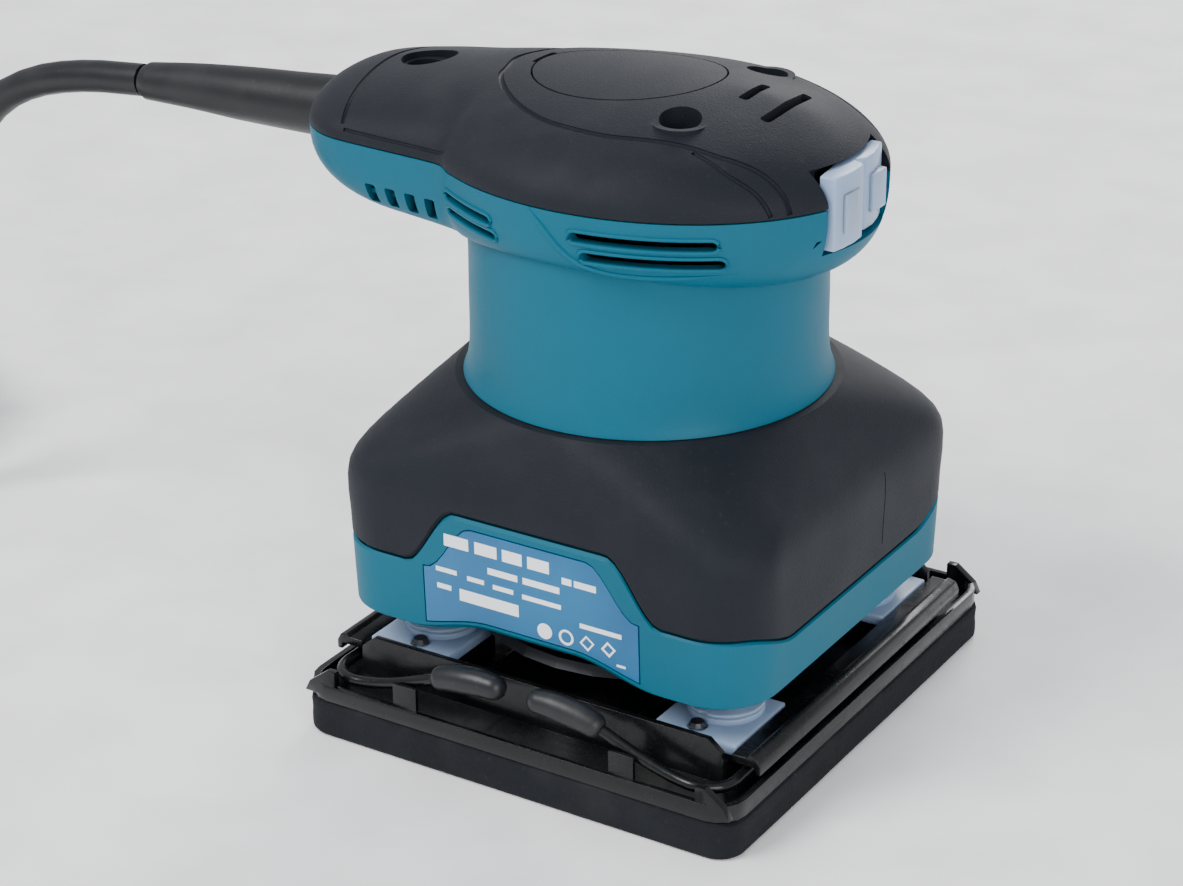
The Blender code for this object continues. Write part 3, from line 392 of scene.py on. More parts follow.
FINISHES = {
    "teal_plastic": finish(
        "teal_housing", (0.0001, 0.094, 0.150), 0.52, tint=(0.0003, 0.104, 0.166), grain=2600.0,
        grain_height=0.00006, dust=0.006, ior=1.29,
    ),
    "soft_charcoal": finish(
        "soft_touch_charcoal", (0.0046, 0.0064, 0.0112), 0.62, tint=(0.0060, 0.0080, 0.0134),
        grain=2200.0, grain_height=0.00012, dust=0.014, sheen=0.03, ior=1.30,
    ),
    "black_plastic": finish(
        "smooth_black", (0.0022, 0.0027, 0.0034), 0.24, tint=(0.0032, 0.0038, 0.0046),
        spread=0.12, grain=900.0, grain_height=0.00002, dust=0.018, coat=0.06, scuffs=0.14,
        ior=1.36,
    ),
    "foam": finish(
        "foam_rubber", (0.0060, 0.0070, 0.0098), 0.85, tint=(0.0090, 0.0102, 0.0135), grain=1400.0,
        grain_height=0.00035, dust=0.04, ior=1.30,
    ),
    "nylon": finish(
        "milky_nylon", (0.24, 0.33, 0.48), 0.34, tint=(0.29, 0.39, 0.55), grain=700.0,
        grain_height=0.00003, dust=0.03, translucent=0.60, ior=1.45,
    ),
    "label": finish(
        "label_film", (0.0020, 0.092, 0.235), 0.33, tint=(0.0035, 0.130, 0.300), spread=0.05,
        grain=400.0, grain_height=0.00001, dust=0.01, coat=0.15, ior=1.42,
    ),
    "steel": finish(
        "ground_steel", (0.50, 0.51, 0.53), 0.28, metallic=1.0, grain_height=0.00002,
        dust=0.04, scuffs=0.16,
    ),
    "dark_steel": finish(
        "blackened_steel", (0.060, 0.062, 0.068), 0.40, metallic=1.0, grain_height=0.00003,
        dust=0.05, scuffs=0.15,
    ),
    "copper": finish(
        "enamelled_copper", (0.62, 0.26, 0.10), 0.32, tint=(0.70, 0.33, 0.14), metallic=1.0,
        grain=1500.0, grain_height=0.00006, dust=0.04, coat=0.5,
    ),
    "carbon": finish("pressed_carbon", (0.012, 0.012, 0.013), 0.62, grain=3000.0, dust=0.08),
    "brass": finish(
        "plain_brass", (0.80, 0.58, 0.24), 0.26, tint=(0.72, 0.50, 0.20), metallic=1.0,
        dust=0.03, scuffs=0.12,
    ),
    "cord": finish(
        "cord_sheath", (0.0046, 0.0056, 0.0072), 0.44, tint=(0.0065, 0.0076, 0.0095), grain=1300.0,
        grain_height=0.00006, dust=0.03, ior=1.40,
    ),
}
GRIP_RUBBER = finish(
    "dipped_grip", (0.0070, 0.0080, 0.0098), 0.40, tint=(0.0095, 0.0105, 0.0125), grain=1200.0,
    grain_height=0.00005, dust=0.05, ior=1.42,
)
WHITE_PRINT = finish("white_print", (0.80, 0.83, 0.85), 0.40, dust=0.02, grain_height=0.00001)
PALE_FLOOR = finish(
    "pale_floor", (0.93, 0.93, 0.93), 0.75, spread=0.04, grain=60.0, grain_height=0.0, dust=0.0,
)


# ---------------------------------------------------------------- modelling helpers


def ringed(rows, cap_first=False, cap_last=False):
    """A skin of rings: a circle on the first row's points, extruded to each next row."""
    shape = bmesh.new()
    order = shape.verts.layers.int.new("order")
    first = bmesh.ops.create_circle(shape, segments=len(rows[0]), radius=0.01)["verts"]
    for i, vert in enumerate(first):
        vert[order] = i
        vert.co = rows[0][i]
    edges = list(shape.edges)
    if cap_first:
        bmesh.ops.contextual_create(shape, geom=edges)
    for row in rows[1:]:
        made = bmesh.ops.extrude_edge_only(shape, edges=edges)["geom"]
        fresh = {item for item in made if isinstance(item, bmesh.types.BMVert)}
        edges = [e for e in made if isinstance(e, bmesh.types.BMEdge) and set(e.verts) <= fresh]
        for vert in fresh:
            vert.co = row[vert[order]]
    if cap_last:
        bmesh.ops.contextual_create(shape, geom=edges)
    shape.verts.layers.int.remove(order)
    bmesh.ops.recalc_face_normals(shape, faces=shape.faces)
    return shape


def block(low, high, round_off=0.0, segments=2):
    """A box between two corners, with its edges rounded."""
    shape = bmesh.new()
    low, high = Vector(low), Vector(high)
    place = Matrix.Translation((low + high) / 2) @ Matrix.Diagonal((*(high - low), 1.0))
    bmesh.ops.create_cube(shape, size=1.0, matrix=place)
    if round_off:
        soften(shape, shape.edges, round_off, segments)
    return shape


def soften(shape, edges, width, segments=2):
    """Rounds edges off."""
    bmesh.ops.bevel(
        shape, geom=list(edges), offset=width, offset_type="OFFSET", segments=segments,
        profile=0.5, affect="EDGES", clamp_overlap=True, material=-1,
    )


def rod(radius, start, end, sides=32, end_radius=None, round_off=0.0):
    """A cylinder or a cone between two points."""
    shape = bmesh.new()
    start, end = Vector(start), Vector(end)
    turn = (end - start).to_track_quat("Z", "Y").to_matrix().to_4x4()
    turn = turn @ Matrix.Rotation(0.13, 4, "Z")  # keeps its facets off other pieces' edges
    bmesh.ops.create_cone(
        shape, cap_ends=True, segments=sides, radius1=radius, radius2=end_radius or radius,
        depth=(end - start).length, matrix=Matrix.Translation((start + end) / 2) @ turn,
    )
    if round_off:
        rims = [e for e in shape.edges if any(len(f.verts) > 4 for f in e.link_faces)]
        soften(shape, rims, round_off, 3)
    return shape


def flat_face(points):
    """One face through points."""
    shape = bmesh.new()
    made = bmesh.ops.create_circle(shape, segments=len(points), radius=0.01, cap_ends=True)
    for vert, point in zip(made["verts"], points):
        vert.co = point
    return shape


def draw_out(shape, by):
    """Extrudes all of a shape's faces along a vector."""
    moved = bmesh.ops.extrude_face_region(shape, geom=list(shape.faces))["geom"]
    raised = [item for item in moved if isinstance(item, bmesh.types.BMVert)]
    bmesh.ops.translate(shape, verts=raised, vec=by)


def pushed(outline, low, high, axis="z"):
    """A flat outline extruded from low to high along an axis."""
    spots = {"y": lambda a, b, c: (a, c, b), "z": lambda a, b, c: (a, b, c)}
    shape = flat_face([spots[axis](a, b, low) for a, b in outline])
    draw_out(shape, spots[axis](0.0, 0.0, high - low))
    bmesh.ops.recalc_face_normals(shape, faces=shape.faces)
    return shape


def round_turn(count):
    """Angles spread evenly round a circle."""
    return [math.tau * i / count for i in range(count)]


def hermite(low, high, rise, fall, t):
    """A smooth step from low to high that leaves at one slope and arrives at another."""
    return (
        low * (2 * t**3 - 3 * t**2 + 1) + rise * (t**3 - 2 * t**2 + t)
        + high * (3 * t**2 - 2 * t**3) + fall * (t**3 - t**2)
    )


def smooth_path(points, spacing, closed=False):
    """A smooth curve through points, read at even steps."""
    spots = [Vector(p) for p in points]
    if closed:
        ends = [spots[-1], *spots, spots[0], spots[1]]
    else:
        ends = [spots[0] * 2 - spots[1], *spots, spots[-1] * 2 - spots[-2]]
    fine = []
    for a, b, c, d in zip(ends, ends[1:], ends[2:], ends[3:]):
        fine += [hermite(b, c, (c - a) * 0.5, (d - b) * 0.5, i / 24) for i in range(24)]
    fine.append(fine[0] if closed else spots[-1])
    total = sum((b - a).length for a, b in zip(fine, fine[1:]))
    count = max(2, round(total / spacing))
    count += count % 2 if closed else 0
    path, walked, target = [fine[0]], 0.0, total / count
    for a, b in zip(fine, fine[1:]):
        step = (b - a).length
        while walked + step >= target and len(path) < count:
            path.append(a.lerp(b, (target - walked) / step))
            target += total / count
        walked += step
    if not closed:
        path.append(fine[-1])
    return path


def tube(path, radii, sides=16, closed=False, up=(0.0, 0.0, 1.0)):
    """Rings square to a path, each with its own radius. An open tube is capped."""
    rows = []
    count = len(path)
    for i, spot in enumerate(path):
        before = path[i - 1] if closed or i else path[0]
        after = path[(i + 1) % count] if closed or i < count - 1 else path[-1]
        heading = (after - before).normalized()
        side = heading.cross(Vector(up)).normalized()
        lift = side.cross(heading)
        radius = radii[i] if hasattr(radii, "__len__") else radii
        rows.append([
            spot + radius * (side * math.cos(t) + lift * math.sin(t)) for t in round_turn(sides)
        ])
    if closed:
        shape = ringed(rows + [rows[0]])
        bmesh.ops.remove_doubles(shape, verts=shape.verts, dist=0.000001)
        bmesh.ops.recalc_face_normals(shape, faces=shape.faces)
        return shape
    return ringed(rows, True, True)


def merged(*shapes):
    """Several shapes as one mesh."""
    together = shapes[0]
    for shape in shapes[1:]:
        part = bpy.data.meshes.new("part")
        shape.to_mesh(part)
        shape.free()
        together.from_mesh(part)
        bpy.data.meshes.remove(part)
    return together


def object_of(name, shape):
    mesh = bpy.data.meshes.new(name)
    shape.to_mesh(mesh)
    shape.free()
    made = bpy.data.objects.new(name, mesh)
    bpy.context.scene.collection.objects.link(made)
    return made


def settle(piece):
    """Turns a piece's modifiers into its mesh."""
    bpy.context.view_layer.update()
    seen = piece.evaluated_get(bpy.context.evaluated_depsgraph_get())
    mesh = bpy.data.meshes.new_from_object(seen)
    piece.modifiers.clear()
    spent, piece.data = piece.data, mesh
    bpy.data.meshes.remove(spent)


def carve(piece, shape, operation="DIFFERENCE"):
    """Cuts a piece by a shape, joins it to one, or keeps what they share."""
    tool = object_of("tool", shape)
    step = piece.modifiers.new("carve", "BOOLEAN")
    step.operation = operation
    step.solver = "EXACT"
    step.object = tool
    settle(piece)
    spent = tool.data
    bpy.data.objects.remove(tool)
    bpy.data.meshes.remove(spent)


def thicken(piece, wall):
    """Gives a skin a wall on its inner side."""
    step = piece.modifiers.new("wall", "SOLIDIFY")
    step.thickness = wall
    step.offset = -1.0
    step.use_even_offset = True
    settle(piece)


def hand_over(piece, name, body, slot, stands_for=(), surface=None, smooth=32.0):
    """Gives a finished piece its name, finish, shading and body."""
    piece.name = name
    piece.data.name = name
    piece.data.materials.clear()
    piece.data.materials.append(surface or FINISHES[slot])
    if piece.type == "MESH":
        piece.data.shade_smooth()
        piece.data.set_sharp_from_angle(angle=math.radians(smooth))
    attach(piece, body)
    if stands_for:
        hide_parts(*stands_for)
    return piece


def add_piece(name, shape, body, slot, stands_for=(), surface=None, smooth=32.0):
    return hand_over(object_of(name, shape), name, body, slot, stands_for, surface, smooth)


def between(table, value):
    """Reads a table of rows (key, numbers...) at a key, along a smooth curve."""
    if value <= table[0][0]:
        return table[0][1:]
    if value >= table[-1][0]:
        return table[-1][1:]
    i = next(k for k in range(len(table) - 1) if value <= table[k + 1][0])
    low, high = table[i], table[i + 1]
    before, after = table[max(0, i - 1)], table[min(len(table) - 1, i + 2)]
    span = high[0] - low[0]
    t = (value - low[0]) / span
    result = []
    for k in range(1, len(low)):
        rise = (high[k] - before[k]) / (high[0] - before[0]) * span
        fall = (after[k] - low[k]) / (after[0] - low[0]) * span
        result.append(hermite(low[k], high[k], rise, fall, t))
    return tuple(result)


def filled_in(outline, spacing):
    """A closed outline with points along its straight sides too."""
    points = []
    for (ax, ay), (bx, by) in zip(outline, outline[1:] + outline[:1]):
        count = max(1, round(math.hypot(bx - ax, by - ay) / spacing))
        points += [(ax + (bx - ax) * i / count, ay + (by - ay) * i / count) for i in range(count)]
    return points


def ease(value, start, end):
    share = min(1.0, max(0.0, (value - start) / (end - start)))
    return share * share * (3.0 - 2.0 * share)


def ray_drop(tree, start, heading):
    """Where a line from start first meets a surface."""
    return tree.ray_cast(Vector(start), Vector(heading))[0]


def on_cheek(tree, x, side, z):
    """The point on one side of the head at a place along X and a height."""
    return ray_drop(tree, (x, side * 0.08, z), (0, -side, 0))


def bmesh_of(piece):
    shape = bmesh.new()
    shape.from_mesh(piece.data)
    return shape


def taken(piece):
    """A working object's shape. The object itself is thrown away."""
    shape = bmesh_of(piece)
    bpy.data.objects.remove(piece)
    return shape


def surface_of(piece):
    shape = bmesh_of(piece)
    tree = BVHTree.FromBMesh(shape)
    shape.free()
    return tree


def slab(low, high):
    """A slab between two heights, wider than the sander."""
    return block((-0.1, -0.1, low), (0.1, 0.1, high))


def neck_bore(play):
    """The hole that the neck passes through."""
    return rod(NECK + play, (0, 0, 0.0600), (0, 0, 0.0900), 96)


def cord_bore():
    """The hole in the handle's end for the cord's guard."""
    return rod(0.0073, (-0.0900, 0, CORD_Z), (-0.0600, 0, CORD_Z), 36)


# ---------------------------------------------------------------- cord


def read_off(table, value, eased=False):
    """Reads a table of pairs, in straight or in eased steps."""
    for low, high in zip(table, table[1:]):
        if value <= high[0]:
            share = (value - low[0]) / (high[0] - low[0])
            return low[1] + (high[1] - low[1]) * (ease(share, 0.0, 1.0) if eased else share)
    return table[-1][1]


def coil_points():
    """The coil's middle line, a point every 15 degrees."""
    points = []
    for travelled in range(15, 2211, 15):
        turn = math.radians(-90.0 - travelled)
        reach = read_off(COIL_REACH, travelled, eased=True)
        height = read_off(COIL_HEIGHT, travelled)
        across = Vector((reach * math.cos(turn), reach * math.sin(turn), height))
        points.append(COIL_CENTRE + across)
    return points


def make_cord():
    """The mains cord: out of its guard, down to the floor, round its coil and into the plug."""
    route = smooth_path(CORD_ROUTE, 0.0060)
    tail = [coil_points()[-1]] + [Vector(p) for p in CORD_TAIL]
    points = route + coil_points() + smooth_path(tail, 0.0050)[1:]
    line = bpy.data.curves.new("mains_cord", "CURVE")
    line.dimensions = "3D"
    line.bevel_depth = CORD_DIAMETER / 2
    line.bevel_resolution = 5
    line.use_fill_caps = True
    spline = line.splines.new("POLY")
    spline.points.add(len(points) - 1)
    spline.use_smooth = True
    for point, place in zip(spline.points, points):
        point.co = (*place, 1.0)
    cord = bpy.data.objects.new("mains_cord", line)
    bpy.context.scene.collection.objects.link(cord)
    return hand_over(cord, "mains_cord", "housing", "cord", ("power_cord", "cord_coil"))


def make_plug():
    """The plug's body: a round sleeve that widens into a flat grip with ribs, and its two pins."""
    stations = (
        (0.0000, 0.0043, 0.0043, 0.0046),
        (0.0120, 0.0048, 0.0048, 0.0054),
        (0.0240, 0.0056, 0.0056, 0.0068),
        (0.0300, 0.0085, 0.0070, 0.0080),
        (0.0400, 0.0150, 0.0083, 0.0088),
        (0.0500, 0.0178, 0.0085, 0.0088),
        (0.0700, 0.0180, 0.0085, 0.0088),
        (0.0752, 0.0172, 0.0080, 0.0088),
        (0.0760, 0.0160, 0.0072, 0.0088),
    )
    rows = []
    for i in range(61):
        along = 0.0760 * i / 60
        half, tall, height = between(stations, along)
        sleeve = ease(along, 0.002, 0.005) - ease(along, 0.020, 0.024)
        grip = ease(along, 0.048, 0.050) - ease(along, 0.066, 0.068)
        rib = min(0.0, 0.00045 * math.sin(along * math.tau / 0.0038) * sleeve)
        notch = min(0.0, 0.0005 * math.sin(along * math.tau / 0.0036) * grip)
        square = 2 / (2.0 + 55.0 * max(0.0, half - 0.006))
        row = []
        for t in round_turn(48):
            side = math.copysign(abs(math.cos(t)) ** square, math.cos(t)) * (half + rib + notch)
            rise = math.copysign(abs(math.sin(t)) ** square, math.sin(t)) * (tall + rib)
            row.append(Vector((PLUG_X + side, PLUG_START + along, height + rise)))
        rows.append(row)
    body = add_piece("mains_plug", ringed(rows, True, True), "housing", "cord", ("plug_body",))
    pins = []
    for i, side in enumerate((-1, 1)):
        foot = Vector((PLUG_X + side * 0.0095, PLUG_START + 0.0763, 0.0088))
        tip = foot + Vector((0.0, 0.0190, 0.0))
        pin = merged(
            rod(0.0024, foot + Vector((0.0, 0.0098, 0.0)), tip, 28, round_off=0.0011),
            rod(0.0020, foot, foot + Vector((0.0, 0.0100, 0.0)), 28),
        )
        name, node = f"plug_prong_{i + 1}", f"plug_pin_{i + 1}"
        pins.append(add_piece(name, pin, "housing", "brass", (node,)))
    return [body, *pins]


def rounded_copy(node, width):
    """A CAD node's mesh, with its flat faces made whole and its edges rounded."""
    shape = bmesh_of(frame["nodes"][node])
    bmesh.ops.remove_doubles(shape, verts=shape.verts, dist=0.000002)
    bmesh.ops.dissolve_limit(
        shape, angle_limit=math.radians(1.0), use_dissolve_boundaries=False,
        verts=shape.verts, edges=shape.edges,
    )
    joined = [e for e in shape.edges if len(e.link_faces) == 2]
    sharp = [e for e in joined if e.calc_face_angle() > math.radians(30.0)]
    soften(shape, sharp, width)
    bmesh.ops.triangulate(shape, faces=[f for f in shape.faces if len(f.verts) > 4])
    return shape


def make_tie():
    """The band round the coil, pulled down onto its turns."""
    band = rounded_copy("cord_tie", 0.0003)
    for vert in band.verts:
        if vert.co.z > TIE_MIDDLE:
            vert.co.z -= TIE_DROP
    return add_piece("coil_tie", band, "housing", "black_plastic", ("cord_tie",))


def make_guard():
    """The cord's guard: a smooth tapered sleeve out of the handle's end."""
    stations = (
        (-0.1280, 0.00410, 0.00270),
        (-0.1140, 0.00500, 0.00170),
        (-0.1000, 0.00585, 0.00110),
        (-0.0860, 0.00635, 0.00050),
        (-0.0780, 0.00665, 0.00010),
        (-0.0740, 0.00680, 0.00000),
        (-0.0700, 0.00680, 0.00000),
    )
    rows = []
    for i in range(45):
        x = -0.1280 + 0.0580 * i / 44
        radius, drop = between(stations, x)
        radius -= 0.0006 * (1.0 - ease(x, -0.1280, -0.1268))
        middle = Vector((x, 0.0, CORD_Z - drop))
        rows.append([
            middle + radius * Vector((0.0, math.cos(t), math.sin(t))) for t in round_turn(40)
        ])
    return add_piece("guard_sleeve", ringed(rows, True, True), "housing", "cord", ("cord_guard",))


# ---------------------------------------------------------------- head


def head_outline():
    """The head in plan at its seam: the round end with the switch, then the handle."""
    half = []
    for i in range(11):
        turn = math.radians(i * 126.0 / 10)
        reach = HEAD_FRONT - 0.0020 if turn < math.pi / 2 else 0.0480
        half.append((0.0020 + reach * math.cos(turn), HEAD_HALF * math.sin(turn)))
    half.append((-0.0296, 0.0291))
    half.append((-0.0340, 0.0282))
    for i in range(6):
        turn = math.radians(90.0 - i * 90.0 / 5)
        across = HANDLE_HALF * math.sin(turn) ** (2 / 2.3) if i < 5 else 0.0
        half.append((-0.0520 + (HANDLE_END + 0.0520) * math.cos(turn) ** (2 / 2.3), across))
    points = half + [(x, -y) for x, y in reversed(half[1:-1])]
    return [(p.x, p.y) for p in smooth_path([(x, y, 0.0) for x, y in points], 0.0020, closed=True)]


OUTLINE = head_outline()
SQUARENESS = 2.6  # of the bowl's edge: 2 is a circle
DOME_SQUARENESS = 1.95


def dome_skin():
    """The skin of the cover, from its rim up to the ridge."""
    shares = (1.0, 0.998, 0.993, 0.985, 0.972, 0.955, 0.933, 0.905, 0.875, 0.84, 0.80, 0.755,
              0.70, 0.64, 0.58, 0.51, 0.44, 0.37, 0.30, 0.22, 0.14, 0.06, 0.0)
    rows = []
    for share in shares:
        lift = (1.0 - share**DOME_SQUARENESS) ** (1.0 / DOME_SQUARENESS)
        row = []
        for x, y in OUTLINE:
            ridge = -0.0560 + (x - HANDLE_END) / (HEAD_FRONT - HANDLE_END) * 0.0800
            spot = ridge + (x - ridge) * share
            height = between(CROWN, spot)[0] - HEAD_SEAM
            row.append(Vector((spot, y * share, HEAD_SEAM + GAP / 2 + height * lift)))
        rows.append(row)
    skin = ringed(rows)
    bmesh.ops.remove_doubles(skin, verts=skin.verts, dist=0.00002)
    bmesh.ops.recalc_face_normals(skin, faces=skin.faces)
    return skin


def groove(tree, spots, width):
    """A tube laid along points in plan, dropped on a surface: what a groove is cut with."""
    dropped = []
    for x, y, *height in spots:
        if height:
            hit = ray_drop(tree, (x * 2, y * 2, height[0]), (-x, -y, 0))
        else:
            hit = ray_drop(tree, (x, y, 0.2), (0, 0, -1))
        if hit:
            dropped.append(hit)
    return tube(smooth_path(dropped, 0.0009), width / 2, 8)


# the long groove round the crown: its near half in plan, from the rear to the front
CROWN_GROOVE = (
    (-0.0305, 0.0000),
    (-0.0292, -0.0058),
    (-0.0281, -0.0098),
    (-0.0234, -0.0155),
    (-0.0167, -0.0208),
    (-0.0086, -0.0248),
    (-0.0003, -0.0264),
    (0.0069, -0.0266),
    (0.0133, -0.0254),
    (0.0186, -0.0241),
    (0.0232, -0.0231),
    (0.0280, -0.0223),
    (0.0324, -0.0210),
    (0.0369, -0.0200),
    (0.0403, -0.0197, 0.1226),
    (0.0421, -0.0199, 0.1190),
)
# the short groove that leaves it towards the seam
CHEEK_GROOVE = (
    (0.0237, -0.0239),
    (0.0282, -0.0242),
    (0.0317, -0.0244),
    (0.0365, -0.0236),
    (0.0388, -0.0232, 0.1210),
    (0.0399, -0.0229, 0.1190),
)
# the groove across the handle, bowed back at its middle
COLLAR_HALF = (0.0070, 0.0140, 0.0200, 0.0240, 0.0254)
COLLAR_SPOTS = (*[-y for y in reversed(COLLAR_HALF)], 0.0, *COLLAR_HALF)
COLLAR_GROOVE = tuple((-0.0605 + 0.0048 * (y / 0.0254) ** 2, y) for y in COLLAR_SPOTS)


def oval(half_x, half_y, low, high):
    """An upright oval block round the inlay's middle."""
    outline = [(-0.0045 + half_x * math.cos(t), half_y * math.sin(t)) for t in round_turn(96)]
    return pushed(outline, low, high)


def bent_slot(x, half, width, low, high, bow):
    """A slot with round ends that bows with the front of the head."""
    spots = []
    for side in (1, -1):
        for i in range(25):
            y = side * half * math.cos(math.pi * i / 24)
            past = max(0.0, (abs(y) - half + width * 0.3) / (width * 0.3))
            trim = math.sqrt(max(0.0, 1.0 - past * past * 0.8))
            spots.append((x - y * y * bow + side * width / 2 * trim, y))
    return pushed(spots, low, high)


def pocket_walls(low, high, skin):
    """The walls round the switch's recess, kept inside one half of the head."""
    side = SWITCH_HALF + 0.0020
    pocket = object_of("pocket", block((SWITCH_BACK - 0.0020, -side, low), (0.0520, side, high)))
    rims = [e for e in skin.edges if len(e.link_faces) == 1]
    bmesh.ops.contextual_create(skin, geom=rims)
    bmesh.ops.recalc_face_normals(skin, faces=skin.faces)
    carve(pocket, skin, "INTERSECT")
    return taken(pocket)


def make_cover():
    """The dark cover: a thin shell with grooves, wells, slots, a switch recess and the inlay."""
    cover = object_of("cover", dome_skin())
    tree = surface_of(cover)
    thicken(cover, SHELL)
    carve(cover, pocket_walls(HEAD_SEAM + GAP, 0.1268, dome_skin()), "UNION")
    for x, y in COVER_WELLS:
        top = between(CROWN, x)[0] - 0.0022 - abs(y) * 0.04
        carve(cover, rod(0.0055, (x, y, 0.1135), (x, y, top)), "UNION")
    carve(cover, slab(0.1000, HEAD_SEAM + GAP / 2))

    inlay = object_of("inlay", bmesh_of(cover))
    carve(inlay, oval(0.0200, 0.0160, 0.1200, 0.1500), "INTERSECT")
    carve(inlay, slab(0.1000, 0.1290))
    hand_over(inlay, "crown_inlay", "housing", "soft_charcoal", ("top_inlay",))
    carve(cover, oval(0.0204, 0.0164, 0.1290, 0.1500))

    for x, half in ((0.0237, 0.0048), (0.0312, 0.0088)):
        carve(cover, bent_slot(x, half, 0.0021, 0.1220, 0.1420, 11.0))
    carve(cover, block((-0.0256, -0.0026, 0.1312), (-0.0243, 0.0052, 0.1400), 0.0004))
    carve(cover, rod(0.0059, (-0.0521, 0.0001, 0.12713), (-0.0521, 0.0001, 0.1400), 44))
    for x, y in COVER_WELLS:
        carve(cover, rod(0.0041, (x, y, 0.1160), (x, y, 0.1500), 36))
        carve(cover, rod(0.0021, (x, y, 0.1000), (x, y, 0.1170), 16))
    carve(cover, block((SWITCH_BACK, -SWITCH_HALF, 0.1100), (0.0700, SWITCH_HALF, SWITCH_HIGH)))
    carve(cover, block((0.0380, -0.0095, 0.1100), (0.0500, 0.0095, 0.1240)))
    carve(cover, cord_bore())
    for side in (-1, 1):
        near = [(x, side * -y, *height) for x, y, *height in CHEEK_GROOVE]
        carve(cover, groove(tree, near, 0.0011))
    far = [(x, -y, *height) for x, y, *height in reversed(CROWN_GROOVE[1:])]
    carve(cover, groove(tree, far + list(CROWN_GROOVE), 0.0013))
    carve(cover, groove(tree, COLLAR_GROOVE, 0.0012))
    for side in (-1, 1):
        ledge = []
        for i in range(14):
            x = -0.0551 + 0.0265 * i / 13
            ledge.append(on_cheek(tree, x, side, 0.1206 + 0.0010 * ease(x, -0.031, -0.0286)))
        carve(cover, tube(smooth_path(ledge, 0.0010), 0.00042, 8))
    hand_over(cover, "head_cover", "housing", "soft_charcoal", ("top_cover",), smooth=28.0)


def bowl_rows(steps=18):
    """Rings of the bowl, from the seam in to the neck."""
    rows = []
    for k in range(steps + 1):
        turn = math.radians(90.0 * k / steps)
        share = 1.0 - math.cos(turn) ** (2 / SQUARENESS) if k < steps else 1.0
        fall = math.sin(turn) ** (2 / SQUARENESS)
        row = []
        for x, y in OUTLINE:
            angle = math.atan2(y, x)
            depth = HEAD_SEAM - (0.1015 + 0.0052 * math.sin(angle) ** 2)
            inner = Vector((NECK * math.cos(angle), NECK * math.sin(angle)))
            spot = Vector((x, y)).lerp(inner, share)
            row.append(Vector((spot.x, spot.y, HEAD_SEAM - GAP / 2 - depth * fall)))
        rows.append(row)
    return rows


def neck_rows():
    """Rings of the neck, from the bowl down to the spigot under the boot."""
    rows = []
    profile = (
        (NECK - 0.0001, 0.0990),
        (NECK, 0.0900),
        (NECK, 0.0820),
        (NECK + 0.0001, 0.0790),
        (NECK + 0.0003, 0.0768),
        (NECK + 0.0006, 0.0751),
        (NECK + 0.0010, 0.0738),
        (NECK_FLARE - 0.0001, 0.0729),
        (NECK_FLARE, BOOT_TOP + GAP),
        (NECK + 0.0002, BOOT_TOP + GAP),
        (NECK + 0.0002, 0.0620),
    )
    for radius, height in profile:
        row = []
        for x, y in OUTLINE:
            angle = math.atan2(y, x)
            row.append(Vector((radius * math.cos(angle), radius * math.sin(angle), height)))
        rows.append(row)
    return rows


# the vents in the teal bowl: where each starts and ends along X, its height and its slant
LONG_SLOTS = ((0.0060, 0.0325, 0.1140, 0.0), (0.0080, 0.0335, 0.1102, 0.0))
SLANT_SLOTS = ((-0.0275, -0.0130, 0.1132, -0.06), (-0.0265, -0.0118, 0.1102, -0.06))


def slot_outline(start, end, height, slant, half):
    """Points round a slot with round ends, along X and up."""
    points = []
    for i in range(9):
        t = math.radians(-90.0 + 22.5 * i)
        points.append((end - half + half * math.cos(t), half * math.sin(t)))
    for i in range(9):
        t = math.radians(90.0 + 22.5 * i)
        points.append((start + half + half * math.cos(t), half * math.sin(t)))
    middle = (start + end) / 2
    return [(x, height + z + (x - middle) * slant) for x, z in points]


def make_housing():
    """The teal housing: the head's bowl, the underside of the handle, the neck and its spigot."""
    housing = object_of("housing", ringed(bowl_rows() + neck_rows()))
    tree = surface_of(housing)
    thicken(housing, SHELL)
    walls = pocket_walls(0.1075, HEAD_SEAM - GAP / 2 - 0.0001, ringed(bowl_rows()))
    carve(housing, walls, "UNION")
    carve(housing, slab(HEAD_SEAM - GAP / 2, 0.1300))
    carve(housing, block((SWITCH_BACK, -SWITCH_HALF, SWITCH_LOW), (0.0700, SWITCH_HALF, 0.1300)))
    carve(housing, block((0.0380, -0.0095, 0.1105), (0.0500, 0.0095, 0.1300)))
    carve(housing, cord_bore())
    rims, ribs = [], []
    for side in (-1, 1):
        for start, end, height, slant in LONG_SLOTS + SLANT_SLOTS:
            half = 0.00095 if slant == 0.0 else 0.00080
            outline = slot_outline(start, end, height, slant, half)
            low, high = sorted((side * 0.0230, side * 0.0530))
            carve(housing, pushed(outline, low, high, "y"))
            rim = slot_outline(start - 0.0004, end + 0.0004, height, slant, half + 0.00035)
            laid = [on_cheek(tree, x, side, z) for x, z in filled_in(rim, 0.0012)]
            if all(laid):
                rims.append(tube(smooth_path(laid, 0.0010, closed=True), 0.00042, 8, closed=True))
        for i in range(4):
            x = -0.0490 + i * 0.0051
            low, high = sorted((side * 0.0210, side * 0.0320))
            carve(housing, block((x - 0.0013, low, 0.1059), (x + 0.0013, high, 0.1103), 0.0004))
            low, high = sorted((side * 0.0215, side * 0.0240))
            ribs.append(block((x - 0.0016, low, 0.1076), (x + 0.0004, high, 0.1086), 0.0002))
    hand_over(housing, "grip_housing", "housing", "teal_plastic", ("motor_housing",), smooth=28.0)
    add_piece("vent_rims", merged(*rims, *ribs), "housing", "teal_plastic")
    make_swoosh(tree)


